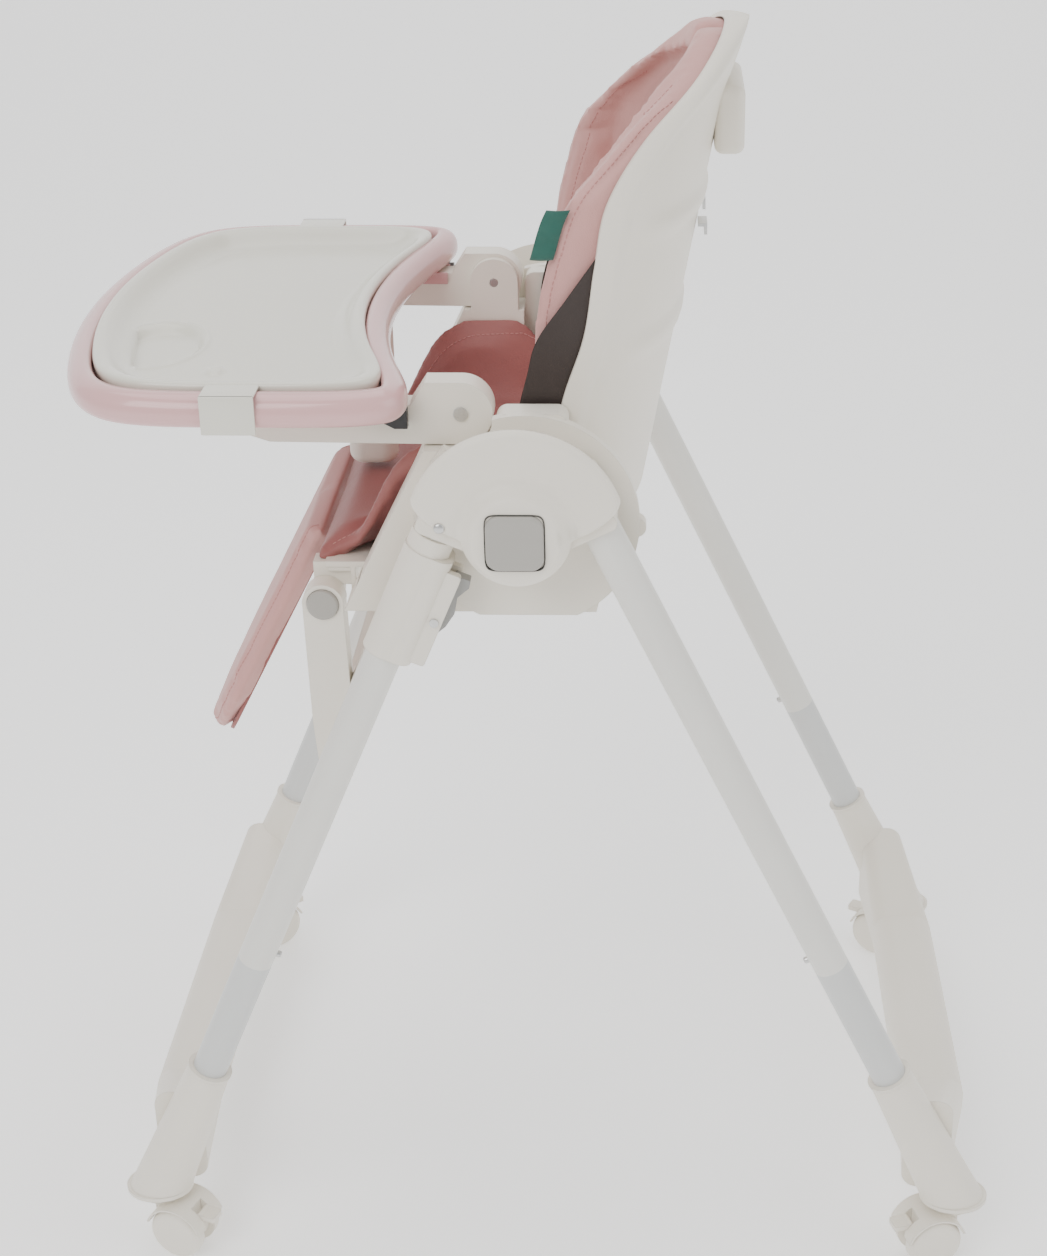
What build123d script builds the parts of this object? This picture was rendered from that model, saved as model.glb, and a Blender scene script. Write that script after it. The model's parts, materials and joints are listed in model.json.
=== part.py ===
from build123d import *
import os
from math import sin, cos, radians

# A folding baby high chair: two pairs of tube legs crossing at side hubs, a seat carriage that slides on the
# front legs, a reclining back, a lifting tray on two arms, a footrest and a calf rest.
# Frame: +X across the chair, -Y to the front, +Z up, origin on the floor under the middle of the chair.

# ---------------------------------------------------------------- overall sizes
TRACK = 236.7            # middle plane of the leg tubes, from the middle of the chair
HUB_Y, HUB_Z = -12.0, 707.0
FRONT_LEAN = 23.2        # degrees from upright
REAR_LEAN = 25.6
LEG_OFFSET = 56.0        # leg tube axis from the hub pivot
CLEAR = 0.3              # gap between pieces that move past each other
SNUG = 0.05              # radial gap of a pin in its bore
FRONT, REAR = -1, 1
SIDES = (-1, 1)

# ---------------------------------------------------------------- legs
TUBE_R, TUBE_WALL = 15.0, 1.2
TUBE_TOP = -12.0         # along the leg, from the hub line
TUBE_JOINT_Z = 306.0     # height where the upper tube meets the lower one
NECK = 60.0              # how far the lower tube's neck goes up inside the upper one
SNAP_Z, SNAP_R, SNAP_OUT = 318.0, 3.0, 4.0

# ---------------------------------------------------------------- base bars
WHEEL_R, WHEEL_WIDTH, WHEEL_GAP = 25.0, 12.0, 17.0
FOOT_BASE = 2 * WHEEL_R + 11.0    # underside of the feet above the floor
FOOT_HALF_X, FOOT_HALF_Y = 23.0, 28.5
SOCKET_TOP_Z = FOOT_BASE + 132.0
SOCKET_R = TUBE_R + 3.6
LIP = 1.2
BAR_DEPTH, BAR_HEIGHT, BAR_CORNER = 59.0, 50.0, 19.0
BAR_Z = FOOT_BASE + 26.0  # middle height of the crossbar
TUBE_END_Z = FOOT_BASE + 39.0
BAR_STRAIGHT = 135.0     # half length of its level stretch
BAR_WALL = 4.0
GUSSET_DEPTH, GUSSET_HEIGHT, GUSSET_Z = 42.0, 94.0, FOOT_BASE + 52.0

# ---------------------------------------------------------------- casters
TRAIL = 22.0
AXLE_R = 3.0
STEM_R, STEM_LENGTH = 5.0, 26.0
HOOD_R, HOOD_WALL = WHEEL_R + 3.4, 2.0
BRAKE_WIDTH, BRAKE_Y, BRAKE_Z = 15.0, -TRAIL - 20.5, WHEEL_R + 17.5
CASTER_HEADING = {(FRONT, 1): -20.0, (FRONT, -1): 35.0, (REAR, 1): 18.0, (REAR, -1): -28.0}

# ---------------------------------------------------------------- hubs
BRACKET_IN, BRACKET_OUT = TRACK - TUBE_R - 4.0, TRACK + TUBE_R + 5.0   # faces of the leg brackets
BRACKET_TOP, BRACKET_END = -18.0, 29.0     # along the leg
BRACKET_INNER, BRACKET_OUTER = 32.0, TUBE_R + 2.0   # across the leg, each way from its axis
DISC_R = 34.0
PIN_R, PIN_HEAD_R, PIN_HEAD = 6.0, 11.0, 3.0
COVER_R, COVER_CORNER, COVER_NECK_R = 82.0, 31.0, 42.0
COVER_THICK, CROWN_HEIGHT, CROWN_R = 6.0, 11.0, 33.0
BUTTON_SIZE, BUTTON_CORNER, BUTTON_PROUD, BUTTON_TRAVEL = 44.0, 10.0, 4.0, 3.0
SCREW_HEAD_R, SCREW_HEAD, SCREW_R = 4.2, 2.0, 2.0
SCREW_AT = 17.0

# ---------------------------------------------------------------- seat
SEAT_HALF = TRACK - 31.7  # outer face of the seat's side walls
BOSS_PROUD = 6.0         # how far the round boss stands out of the side wall
BOSS_Y, BOSS_Z, BOSS_R = -7.0, 697.0, 88.0
SIDE_IN, SIDE_WALL = SEAT_HALF - 45.0, 4.0
SIDE_REAR_IN, SIDE_STEP = SEAT_HALF - 24.0, -30.0    # thinner sides behind the step, beside the back
SEAT_BOTTOM, FLOOR_Z, FLOOR_THICK = 618.0, 642.0, 5.0
SIDE_FRONT, FLOOR_FRONT, FLOOR_REAR = -154.5, -175.0, 38.0
RIB_THICK, RIB_DEEP, RIB_COUNT = 2.0, 9.0, 13
SIDE_TOP, SHOULDER_TOP = 754.0, 784.0
ARM_Y, ARM_Z = -57.0, 780.0
ARM_R = 25.0
ARM_IN, ARM_OUT = SEAT_HALF - 36.5, SEAT_HALF - 12.0
ARM_PIN_R = 4.0
SLEEVE_TOP, SLEEVE_END = 46.0, 141.0
SLEEVE_R = TUBE_R + 3.6
LEVER_AT, LEVER_OFFSET, LEVER_THICK = 97.7, 25.9, 11.0
REST_Y, REST_Z = -176.5, 611.0             # footrest shaft
SHAFT_R, BOSS_CAP_R, REST_BOSS_R = 6.0, 13.0, 17.0
REST_IN, REST_OUT = SIDE_IN - 2.0, SIDE_IN + 18.0
REST_LOW, REST_PLATE = 446.0, 12.0
CAP_PROUD, CAP_TRAVEL = 3.0, 3.0

# ---------------------------------------------------------------- back
RECLINE_Y, RECLINE_Z = 15.0, 692.0
BACK_HALF, BACK_WALL = SIDE_REAR_IN - 5.0, 4.0
BACK_BOTTOM, BACK_TOP = 668.0, 1046.0
BACK_PIN_R = 6.0
ARCH_FROM, ARCH_TOP = 880.0, 1050.0
# Side view of the back, as (z, y): the shell's front rim, its rear, and the cushion's wings.
RIM_LINE = ((668, 14), (784, 21), (835, 38), (891, 47), (937, 57), (979, 85), (1016, 124), (1034, 140),
            (1046, 150))
REAR_LINE = ((668, 83), (985, 145), (1046, 165))
HANDLE_HALF, HANDLE_LOW, HANDLE_HIGH, HANDLE_OUT = 55.0, 946.0, 1000.0, 162.0
HANDLE_WALL, HANDLE_TRAVEL, HANDLE_GAP = 4.0, 8.0, 1.0
CLIP_X, CLIP_Z, CLIP_LENGTH, CLIP_DEEP, CLIP_DROP, CLIP_THICK = 28.0, 891.0, 24.0, 7.5, 9.0, 2.5

# ---------------------------------------------------------------- tray
TRAY_NOSE = -389.1
TRAY_HALF = ARM_OUT + 59.0
TRAY_LOW, TRAY_HIGH = 787.0, 813.0
NOTCH = -131.0           # rear edge of the tray at the middle
NOSE_BOW, NOTCH_BOW = 0.19, 0.23   # how far nose and notch curve, as a share of the half width
TRAY_ROUND = 11.0
RIM = 19.5               # width of the coloured rim at nose and notch
RIM_SIDE = 24.0
TRAY_FLOOR = 3.0
INSERT_HIGH, INSERT_LIP, INSERT_FLOOR, INSERT_WALL = 816.0, 9.0, 801.5, 2.5
CUP_X, CUP_Y, CUP_A, CUP_B, CUP_DEEP = 92.0, TRAY_NOSE + 78.1, 56.0, 38.0, 6.0
TAB_Y, TAB_HALF, TAB_LOW = -224.5, 20.5, 785.0
GUIDE_THICK, GUIDE_DEEP, GUIDE_FRONT, GUIDE_REAR = 2.4, 10.0, -240.0, -100.0
LATCH_FRONT, LATCH_REAR, LATCH_LOW, LATCH_WIDTH = -128.0, -97.0, 772.0, 9.0
POST_Y, POST_LOW, POST_X, POST_DEPTH = -152.5, 668.0, 30.0, 42.0

# ---------------------------------------------------------------- soft parts
SEAT_PAD_THICK = 16.5
SEAT_PAD_REAR = 12.0
WING_THICK = 19.0
BACK_PAD_THICK = 22.0
BACK_PAD_LOW, BACK_PAD_TOP, BACK_WING_LOW = 694.0, 1036.0, 774.0
WING_LINE = ((BACK_WING_LOW, -18), (818, -12), (858, -8), (897, 2), (936, 17), (968, 46), (997, 75),
             (1014, 96), (BACK_PAD_TOP, 116))
CALF_Y, CALF_Z, CALF_R = -184.5, 650.0, 8.5
CALF_TIP_Y, CALF_TIP_Z, CALF_HALF = -305.0, 422.0, SIDE_IN - 55.0
BOARD_THICK, BOARD_HALF = 3.0, CALF_HALF - 17.0

PROFILE = Plane(origin=(0, 0, 0), x_dir=(0, 1, 0), z_dir=(1, 0, 0))


def slab(sketch, x_from, x_to):
    """A side-view sketch, in (y, z), as a plate between two planes across the chair."""
    return extrude(PROFILE.offset(x_from) * sketch, x_to - x_from, dir=(1, 0, 0))


def shape(*points):
    """A filled outline through points given in either direction round."""
    following = points[1:] + points[:1]
    area = sum(a[0] * b[1] - b[0] * a[1] for a, b in zip(points, following))
    return Polygon(*(points if area > 0 else points[::-1]), align=None)


def disc(y, z, radius, x_from, x_to):
    return slab(Pos(y, z) * Circle(radius), x_from, x_to)


def block(x_from, x_to, y_from, y_to, z_from, z_to):
    middle = ((x_from + x_to) / 2, (y_from + y_to) / 2, (z_from + z_to) / 2)
    return Pos(*middle) * Box(x_to - x_from, y_to - y_from, z_to - z_from)


def mirrored(solid):
    return mirror(solid, about=Plane.YZ)


def on_side(solid, side):
    return solid if side > 0 else mirrored(solid)


def lean_of(end):
    return radians(FRONT_LEAN if end == FRONT else REAR_LEAN)


def leg_point(end, across, along):
    """Point (y, z) of a leg: across its axis, outwards, and along it, downwards from the hub line."""
    lean = lean_of(end)
    y = HUB_Y + end * cos(lean) * (LEG_OFFSET + across) + end * sin(lean) * along
    z = HUB_Z + sin(lean) * (LEG_OFFSET + across) - cos(lean) * along
    return (y, z)


def leg_plane(end, along):
    """Plane square to the right-hand leg: local y points outwards and local z down the leg."""
    lean = lean_of(end)
    y, z = leg_point(end, 0, along)
    return Plane(origin=(TRACK, y, z), x_dir=(-end, 0, 0), z_dir=(0, end * sin(lean), -cos(lean)))


def along_leg(end, radius, start, stop):
    """A round bar on the right-hand leg's axis."""
    return extrude(leg_plane(end, start) * Circle(radius), stop - start)


def along_at(end, z):
    """How far down a leg's axis a height is, from the hub line."""
    lean = lean_of(end)
    return (HUB_Z + sin(lean) * LEG_OFFSET - z) / cos(lean)


def leg_height(end, z):
    """Y of the leg's axis at a height."""
    return leg_point(end, 0, along_at(end, z))[0]


def leg_patch(end, inner, outer, start, stop, radius=0.0):
    """A rectangle laid along the leg, in (y, z), with rounded corners."""
    y, z = leg_point(end, (outer - inner) / 2, (start + stop) / 2)
    turn = end * (FRONT_LEAN if end == FRONT else REAR_LEAN)
    size = (inner + outer, stop - start)
    patch = RectangleRounded(*size, radius) if radius else Rectangle(*size)
    return Pos(y, z) * Rot(0, 0, turn) * patch


# ---------------------------------------------------------------- legs and base
def tubes(end, lower):
    """Left and right tube of one pair; the lower one has a necked top that slips into the upper one."""
    joint, stop = along_at(end, TUBE_JOINT_Z), along_at(end, TUBE_END_Z)
    if lower:
        solid = along_leg(end, TUBE_R, joint, stop)
        solid += along_leg(end, TUBE_R - TUBE_WALL - SNUG, joint - NECK, joint)
        solid -= along_leg(end, TUBE_R - 2 * TUBE_WALL - SNUG, joint - NECK, stop)
    else:
        solid = along_leg(end, TUBE_R, TUBE_TOP, joint)
        solid -= along_leg(end, TUBE_R - TUBE_WALL, TUBE_TOP, joint)
        solid -= screw_hole(end)
    solid -= snap_rod(end, SNAP_R + SNUG, -TUBE_R - 2, 0)
    return [solid, mirrored(solid)]


def snap_rod(end, radius, across_from, across_to):
    """A bar square to the leg at the snap button's place, across from inside to outside."""
    plane = leg_plane(end, along_at(end, SNAP_Z))
    start = plane.origin + plane.y_dir * across_from
    return extrude(Plane(origin=start, z_dir=plane.y_dir) * Circle(radius), across_to - across_from)


def snap_button(end, side):
    rod = snap_rod(end, SNAP_R, -TUBE_R - SNAP_OUT, -TUBE_R + TUBE_WALL + 3.0)
    tip = rod.faces().sort_by(Axis.Y)[0 if end == REAR else -1].edges()
    return on_side(fillet(tip, 1.6), side)


def screw_hole(end):
    y, z = leg_point(end, 0, SCREW_AT)
    return disc(y, z, SCREW_R + SNUG, BRACKET_IN - 1, BRACKET_OUT + 1)


def foot(end):
    """Right-hand end of a base bar: an upright socket that widens to an oval foot."""
    mouth = along_at(end, SOCKET_TOP_Z)
    top = leg_plane(end, mouth)
    base_y = leg_height(end, FOOT_BASE)
    base = Plane(origin=(TRACK, base_y, FOOT_BASE), x_dir=(-end, 0, 0), z_dir=(0, 0, -1))
    solid = loft([top * Circle(SOCKET_R), base * Ellipse(FOOT_HALF_X, FOOT_HALF_Y)])
    solid += along_leg(end, SOCKET_R + LIP, mouth, mouth + 3)
    solid += extrude(base * Ellipse(FOOT_HALF_X + LIP, FOOT_HALF_Y + LIP), -4)
    return solid


def bar_section(end, x, depth, height, corner, z, y):
    plane = Plane(origin=(x, y, z), x_dir=(0, 1, 0), z_dir=(1, 0, 0))
    return plane * RectangleRounded(depth, height, corner)


def base_bar(end):
    """One moulded bar across the chair with a socket foot at each end, open underneath."""
    middle_y = leg_height(end, BAR_Z) + end * 3.0
    level = bar_section(end, -BAR_STRAIGHT, BAR_DEPTH, BAR_HEIGHT, BAR_CORNER, BAR_Z, middle_y)
    solid = extrude(level, 2 * BAR_STRAIGHT)
    near = bar_section(end, BAR_STRAIGHT, BAR_DEPTH, BAR_HEIGHT, BAR_CORNER, BAR_Z, middle_y)
    gusset_y = leg_height(end, GUSSET_Z)
    far = bar_section(end, TRACK - 6, GUSSET_DEPTH, GUSSET_HEIGHT, BAR_CORNER - 4, GUSSET_Z, gusset_y)
    ramp = loft([near, far])
    hollow, radius = BAR_DEPTH - 2 * BAR_WALL, BAR_CORNER - BAR_WALL
    channel = bar_section(end, -BAR_STRAIGHT, hollow, BAR_HEIGHT, radius, BAR_Z - BAR_WALL, middle_y)
    solid -= extrude(channel, 2 * BAR_STRAIGHT)
    for side in SIDES:
        solid += on_side(ramp + foot(end), side)
    for side in SIDES:
        solid -= on_side(foot_bores(end), side)
    return solid


def foot_bores(end):
    """The tube's socket and the caster stem's hole in the right-hand foot."""
    bores = along_leg(end, TUBE_R + SNUG, along_at(end, SOCKET_TOP_Z) - 2, along_at(end, TUBE_END_Z) + 1)
    y = leg_height(end, FOOT_BASE)
    bores += Pos(TRACK, y, FOOT_BASE) * Cylinder(STEM_R + SNUG, 2 * STEM_LENGTH + 2)
    return bores


# ---------------------------------------------------------------- casters, about their own stem at the origin
def caster_place(end, side):
    """Where a caster stands: under its foot, trailing towards the middle, turned by its heading."""
    turn = CASTER_HEADING[(end, side)] + (0 if end == REAR else 180)
    return Pos(side * TRACK, leg_height(end, FOOT_BASE), 0) * Rot(0, 0, turn)


def caster_fork():
    """Stem, top plate, web between the wheels and the hood over them; the wheels trail towards -Y."""
    half = WHEEL_GAP / 2 - CLEAR
    hub = (-TRAIL, WHEEL_R)
    cheek = Pos(*hub) * Circle(WHEEL_R - 6) + Pos(-TRAIL / 2 + 2, WHEEL_R + 14) * Rectangle(TRAIL, 24)
    web = slab(cheek, -half, half)
    web -= disc(-TRAIL, WHEEL_R, AXLE_R + SNUG, -half, half)
    ring = Pos(*hub) * (Circle(HOOD_R) - Circle(HOOD_R - HOOD_WALL))
    upper = Pos(-TRAIL, WHEEL_R + 24) * Rectangle(80, 30)
    hood = slab(ring & upper, -WHEEL_GAP / 2 - WHEEL_WIDTH, WHEEL_GAP / 2 + WHEEL_WIDTH)
    bridge = slab((Pos(*hub) * Circle(HOOD_R - 0.5)) & upper, -half, half)
    gap = BRAKE_WIDTH / 2 + CLEAR
    slot = block(-gap, gap, -TRAIL - HOOD_R - 2, -TRAIL - 13, WHEEL_R + 8, WHEEL_R + 35)
    plate_z = FOOT_BASE - 5
    stem = Pos(0, 0, plate_z + 2.35) * Cylinder(14, 4.7)
    stem += Pos(0, 0, FOOT_BASE + STEM_LENGTH / 2 - 3) * Cylinder(STEM_R, STEM_LENGTH + 6)
    post = block(-half, half, -TRAIL / 2 - 6, 6, WHEEL_R + 20, plate_z + 1)
    return (web + hood + bridge + post - slot) + stem


def caster_wheels():
    """Two domed wheels and the axle that joins them."""
    outer = WHEEL_GAP / 2 + WHEEL_WIDTH
    wheel = disc(-TRAIL, WHEEL_R, WHEEL_R, WHEEL_GAP / 2, outer)
    rim = wheel.faces().sort_by(Axis.X)[-1].edges()
    wheel = fillet(rim, 6.0)
    axle = disc(-TRAIL, WHEEL_R, AXLE_R, -outer + 2, outer - 2)
    return wheel + mirrored(wheel) + axle


def caster_brake():
    """Foot pedal of the brake, hinged in the hood's tail."""
    half = BRAKE_WIDTH / 2
    arm = block(-half, half, -TRAIL - HOOD_R - 7, BRAKE_Y, BRAKE_Z - 2.5, BRAKE_Z + 2.5)
    return fillet(arm.edges().filter_by(Axis.Z), 2.0) + disc(BRAKE_Y, BRAKE_Z, 3.2, -half, half)


# ---------------------------------------------------------------- hubs
def hub_bracket(end):
    """Right-hand bracket: holds a leg tube, and its disc is half of the hub's hinge."""
    middle = (BRACKET_IN + BRACKET_OUT) / 2
    patch = leg_patch(end, BRACKET_INNER, BRACKET_OUTER, BRACKET_TOP, BRACKET_END, 6.0)
    arm = slab(patch, BRACKET_IN, BRACKET_OUT)
    own = (middle + CLEAR, BRACKET_OUT) if end == FRONT else (BRACKET_IN, middle - CLEAR)
    other = (BRACKET_IN - 1, middle + CLEAR) if end == FRONT else (middle - CLEAR, BRACKET_OUT + 1)
    solid = arm - disc(HUB_Y, HUB_Z, DISC_R + CLEAR, *other)
    solid += disc(HUB_Y, HUB_Z, DISC_R, *own)
    solid -= disc(HUB_Y, HUB_Z, PIN_R + SNUG, *own)
    solid -= along_leg(end, TUBE_R + SNUG, TUBE_TOP, BRACKET_END + 10)
    return solid - screw_hole(end)


def hub_outline():
    """Side view of the hub cover: a wide arched top narrowing to a round lower end."""
    spread, rise = COVER_R * cos(radians(COVER_CORNER)), COVER_R * sin(radians(COVER_CORNER))
    arch = Circle(COVER_R) & Pos(0, rise + COVER_R) * Rectangle(3 * COVER_R, 2 * COVER_R)
    flank = shape((-spread, rise), (spread, rise), (COVER_NECK_R, -4), (-COVER_NECK_R, -4))
    return arch + flank + Circle(COVER_NECK_R)


def hub_cover():
    """Crowned cover on the outside of the right-hand hub, with a square hole for the fold button."""
    start = BRACKET_OUT + CLEAR
    solid = slab(Pos(HUB_Y, HUB_Z) * hub_outline(), start, start + COVER_THICK)
    base = PROFILE.offset(start + COVER_THICK) * Pos(HUB_Y, HUB_Z) * Circle(COVER_NECK_R - 1)
    crown = PROFILE.offset(start + COVER_THICK + CROWN_HEIGHT) * Pos(HUB_Y, HUB_Z) * Circle(CROWN_R)
    solid += loft([base, crown])
    size = BUTTON_SIZE + 2 * CLEAR
    hole = Pos(HUB_Y, HUB_Z) * RectangleRounded(size, size, BUTTON_CORNER)
    return solid - slab(hole, start, start + COVER_THICK + CROWN_HEIGHT)


def hub_button():
    start = BRACKET_OUT + BUTTON_TRAVEL + 1
    stop = BRACKET_OUT + CLEAR + COVER_THICK + CROWN_HEIGHT + BUTTON_PROUD
    solid = slab(Pos(HUB_Y, HUB_Z) * RectangleRounded(BUTTON_SIZE, BUTTON_SIZE, BUTTON_CORNER), start, stop)
    return fillet(solid.faces().sort_by(Axis.X)[-1].edges(), 2.5)


def hub_pin():
    solid = disc(HUB_Y, HUB_Z, PIN_R, BRACKET_IN, BRACKET_OUT)
    return solid + disc(HUB_Y, HUB_Z, PIN_HEAD_R, BRACKET_IN - PIN_HEAD, BRACKET_IN)


def leg_screw(end):
    """The screw that holds a tube in its bracket."""
    y, z = leg_point(end, 0, SCREW_AT)
    screw = disc(y, z, SCREW_R, BRACKET_IN + 1, BRACKET_OUT)
    return screw + disc(y, z, SCREW_HEAD_R, BRACKET_OUT, BRACKET_OUT + SCREW_HEAD)


# ---------------------------------------------------------------- seat
def seat_side_outline():
    """Side view of the seat's side: a slanted front and a slanted rear end."""
    low = [(SIDE_FRONT, SEAT_BOTTOM), (46.5, SEAT_BOTTOM), (52.5, FLOOR_Z)]
    return shape(*low, (70, 690), (30, SIDE_TOP), (-86, SIDE_TOP))


def shoulder():
    """Hump on the seat's side, behind the arm's round end."""
    height = SHOULDER_TOP - SIDE_TOP + 14
    middle_y = ARM_Y + ARM_R + 30
    hump = Pos(middle_y, SHOULDER_TOP - height / 2) * RectangleRounded(56, height, 9)
    return slab(hump, SIDE_REAR_IN, SEAT_HALF)


def seat_side():
    """Right-hand side of the seat: a double wall open below, wider in front of the step."""
    outline = seat_side_outline()
    solid = slab(outline, SIDE_IN, SEAT_HALF) - block(0, SIDE_REAR_IN, SIDE_STEP, 200, 600, 800)
    inner = slab(offset(outline, -SIDE_WALL), SIDE_IN + SIDE_WALL, SEAT_HALF - SIDE_WALL)
    inner += block(SIDE_IN + SIDE_WALL, SEAT_HALF - SIDE_WALL, SIDE_FRONT + 10, 40, SEAT_BOTTOM, FLOOR_Z)
    inner -= block(0, SIDE_REAR_IN + SIDE_WALL, SIDE_STEP - SIDE_WALL, 200, 600, 800)
    boss = Pos(BOSS_Y, BOSS_Z) * Circle(BOSS_R) & Pos(BOSS_Y, SEAT_BOTTOM + 100) * Rectangle(300, 200)
    solid = solid - inner + slab(boss, SEAT_HALF - SIDE_WALL, SEAT_HALF + BOSS_PROUD) + shoulder()
    nub = Pos(78, 690) * Circle(8) + Pos(68, 690) * Rectangle(16, 14)
    return solid + slab(nub, SEAT_HALF - 14, SEAT_HALF - 2)


def seat_shell():
    """Bucket of the seat: floor, two double-walled sides, arm ears and the ribbed lip over the footrest."""
    ear = Pos(ARM_Y, ARM_Z) * Circle(22) + Pos(ARM_Y, ARM_Z - 25) * Rectangle(44, 50)
    side = seat_side() + slab(ear, SIDE_IN, ARM_IN - CLEAR)
    side -= disc(ARM_Y, ARM_Z, ARM_R + CLEAR, ARM_IN - CLEAR, SEAT_HALF + BOSS_PROUD)
    side -= disc(ARM_Y, ARM_Z, ARM_PIN_R + SNUG, SIDE_IN, ARM_IN)
    side -= disc(RECLINE_Y, RECLINE_Z, BACK_PIN_R + SNUG, SIDE_REAR_IN - 1, SEAT_HALF - SIDE_WALL)
    side += knuckle()
    floor = block(-SIDE_IN - 2, SIDE_IN + 2, FLOOR_FRONT, FLOOR_REAR, FLOOR_Z - FLOOR_THICK, FLOOR_Z)
    floor += block(-SIDE_IN - 2, SIDE_IN + 2, SIDE_FRONT, SIDE_FRONT + 4, SEAT_BOTTOM, FLOOR_Z)
    for index in range(RIB_COUNT):
        x = SIDE_IN * (2 * index / (RIB_COUNT - 1) - 1) - RIB_THICK / 2
        floor += block(x, x + RIB_THICK, FLOOR_FRONT + 2, SIDE_FRONT + 1, FLOOR_Z - RIB_DEEP, FLOOR_Z - 1)
    return side + mirrored(side) + floor


def knuckle():
    """Lug under the seat's front lip that carries the footrest shaft."""
    lug = Pos(REST_Y, REST_Z) * Circle(REST_BOSS_R - 3)
    lug += Pos(REST_Y, (REST_Z + FLOOR_Z) / 2) * Rectangle(18, FLOOR_Z - REST_Z - 4)
    lug += Pos((REST_Y + SIDE_FRONT) / 2, REST_Z + 17) * Rectangle(SIDE_FRONT - REST_Y + 4, 16)
    solid = slab(lug, REST_IN - 18, REST_IN - CLEAR)
    return solid - disc(REST_Y, REST_Z, SHAFT_R + SNUG, REST_IN - 18, REST_IN)


def height_sleeve():
    """Sleeve that rides on the right-hand front tube, with a housing for the height lever."""
    plane = leg_plane(FRONT, SLEEVE_TOP)
    section = Circle(SLEEVE_R) + Pos(0, -6) * RectangleRounded(36, 32, 12)
    solid = extrude(plane * section, SLEEVE_END - SLEEVE_TOP)
    solid += along_leg(FRONT, SLEEVE_R - 1, BRACKET_END + 3, SLEEVE_TOP)
    housing = leg_patch(FRONT, 32, -18, 54, 137, 3.0)
    solid += slab(housing, TRACK - 13, TRACK + 13)
    arm = leg_patch(FRONT, 22, 6, SLEEVE_TOP + 8, SLEEVE_END - 6, 3.0)
    solid += slab(arm, SEAT_HALF + BOSS_PROUD, TRACK - 12)
    slot = LEVER_THICK / 2 + CLEAR
    solid -= slab(leg_patch(FRONT, 44, -19, 50, 141), TRACK - slot, TRACK + slot)
    solid -= along_leg(FRONT, TUBE_R + CLEAR, BRACKET_END, SLEEVE_END + 1)
    y, z = leg_point(FRONT, -LEVER_OFFSET, LEVER_AT)
    return solid - disc(y, z, SCREW_R + SNUG, TRACK - 14, TRACK + 14)


def height_lever():
    """Squeeze trigger of the height adjuster, an S-shaped blade on a cross screw."""
    blade = [(-27.5, 57), (-40, 57), (-41, 63), (-35.5, 74), (-38.5, 88), (-36, 101)]
    tail = [(-30, 113), (-25, 110), (-22.5, 98)]
    outline = shape(*[leg_point(FRONT, across, along) for across, along in blade + tail])
    outline = fillet(outline.vertices(), 1.5)
    y, z = leg_point(FRONT, -LEVER_OFFSET, LEVER_AT)
    solid = slab(outline, TRACK - LEVER_THICK / 2, TRACK + LEVER_THICK / 2)
    return solid - disc(y, z, SCREW_R + SNUG, TRACK - LEVER_THICK, TRACK + LEVER_THICK)


def lever_screw():
    y, z = leg_point(FRONT, -LEVER_OFFSET, LEVER_AT)
    return disc(y, z, SCREW_R, TRACK - 13, TRACK + 13) + disc(y, z, 3.6, TRACK + 13, TRACK + 14.6)


def arm_screw():
    """Pivot screw of an arm, through the arm and the seat's ear."""
    solid = disc(ARM_Y, ARM_Z, ARM_PIN_R, SIDE_IN, ARM_OUT)
    return solid + disc(ARM_Y, ARM_Z, ARM_PIN_R + 1.6, ARM_OUT, ARM_OUT + 1.8)


def seat_pad():
    """Padded seat cushion with a wing up each side."""
    rest = FLOOR_Z + CLEAR
    front = CALF_Y + CALF_R + 0.6
    half = SIDE_IN - 1.5
    solid = block(-half, half, front, SEAT_PAD_REAR, rest, rest + SEAT_PAD_THICK)
    crest = SIDE_TOP - 3
    rising = [(-150, rest + 8), (-128, 700), (-107, crest - 8), (-86, crest)]
    outline = shape(*rising, (-30, crest), (4, 702), (8, rest + 8))
    wing = slab(outline, half - WING_THICK, half)
    return solid + wing + mirrored(wing)


# ---------------------------------------------------------------- footrest and calf rest
def footrest_shaft():
    return disc(REST_Y, REST_Z, SHAFT_R, -REST_OUT + 12, REST_OUT - 12)


def footrest_frame():
    """U-shaped frame hanging from the shaft: two tapered arms with a brace, joined by the foot plate."""
    arm = Pos(REST_Y, REST_Z) * Circle(REST_BOSS_R)
    arm += shape((-193.3, 611), (-191.5, 503), (-188, REST_LOW + 6), (-181, REST_LOW), (-168, REST_LOW),
                   (-161, REST_LOW + 6), (-158, 520), (-160, 611))
    arm += shape((-165, 512), (-150, 500), (-118, 580), (-118, 606), (-129, 606), (-158, 540))
    solid = slab(arm, REST_IN, REST_OUT)
    solid -= disc(REST_Y, REST_Z, SHAFT_R + SNUG, REST_IN - 1, REST_OUT)
    solid -= disc(REST_Y, REST_Z, BOSS_CAP_R + CLEAR, REST_OUT - 10.5, REST_OUT)
    plate = block(-REST_IN - 1, REST_IN + 1, -188, -163, REST_LOW + 2, REST_LOW + 2 + REST_PLATE)
    return solid + mirrored(solid) + plate


def footrest_cap():
    start = REST_OUT - 10.5 + CAP_TRAVEL + 0.5
    solid = disc(REST_Y, REST_Z, BOSS_CAP_R, start, REST_OUT + CAP_PROUD)
    return fillet(solid.faces().sort_by(Axis.X)[-1].edges(), 1.8)


def calf_plane():
    """Plane of the calf rest: local y runs from its hinge to its tip, local z points to its back."""
    run = Vector(0, CALF_TIP_Y - CALF_Y, CALF_TIP_Z - CALF_Z)
    return Plane(origin=(0, CALF_Y, CALF_Z), x_dir=(1, 0, 0), z_dir=Vector(1, 0, 0).cross(run))


def calf_length():
    return ((CALF_TIP_Y - CALF_Y) ** 2 + (CALF_TIP_Z - CALF_Z) ** 2) ** 0.5


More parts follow.
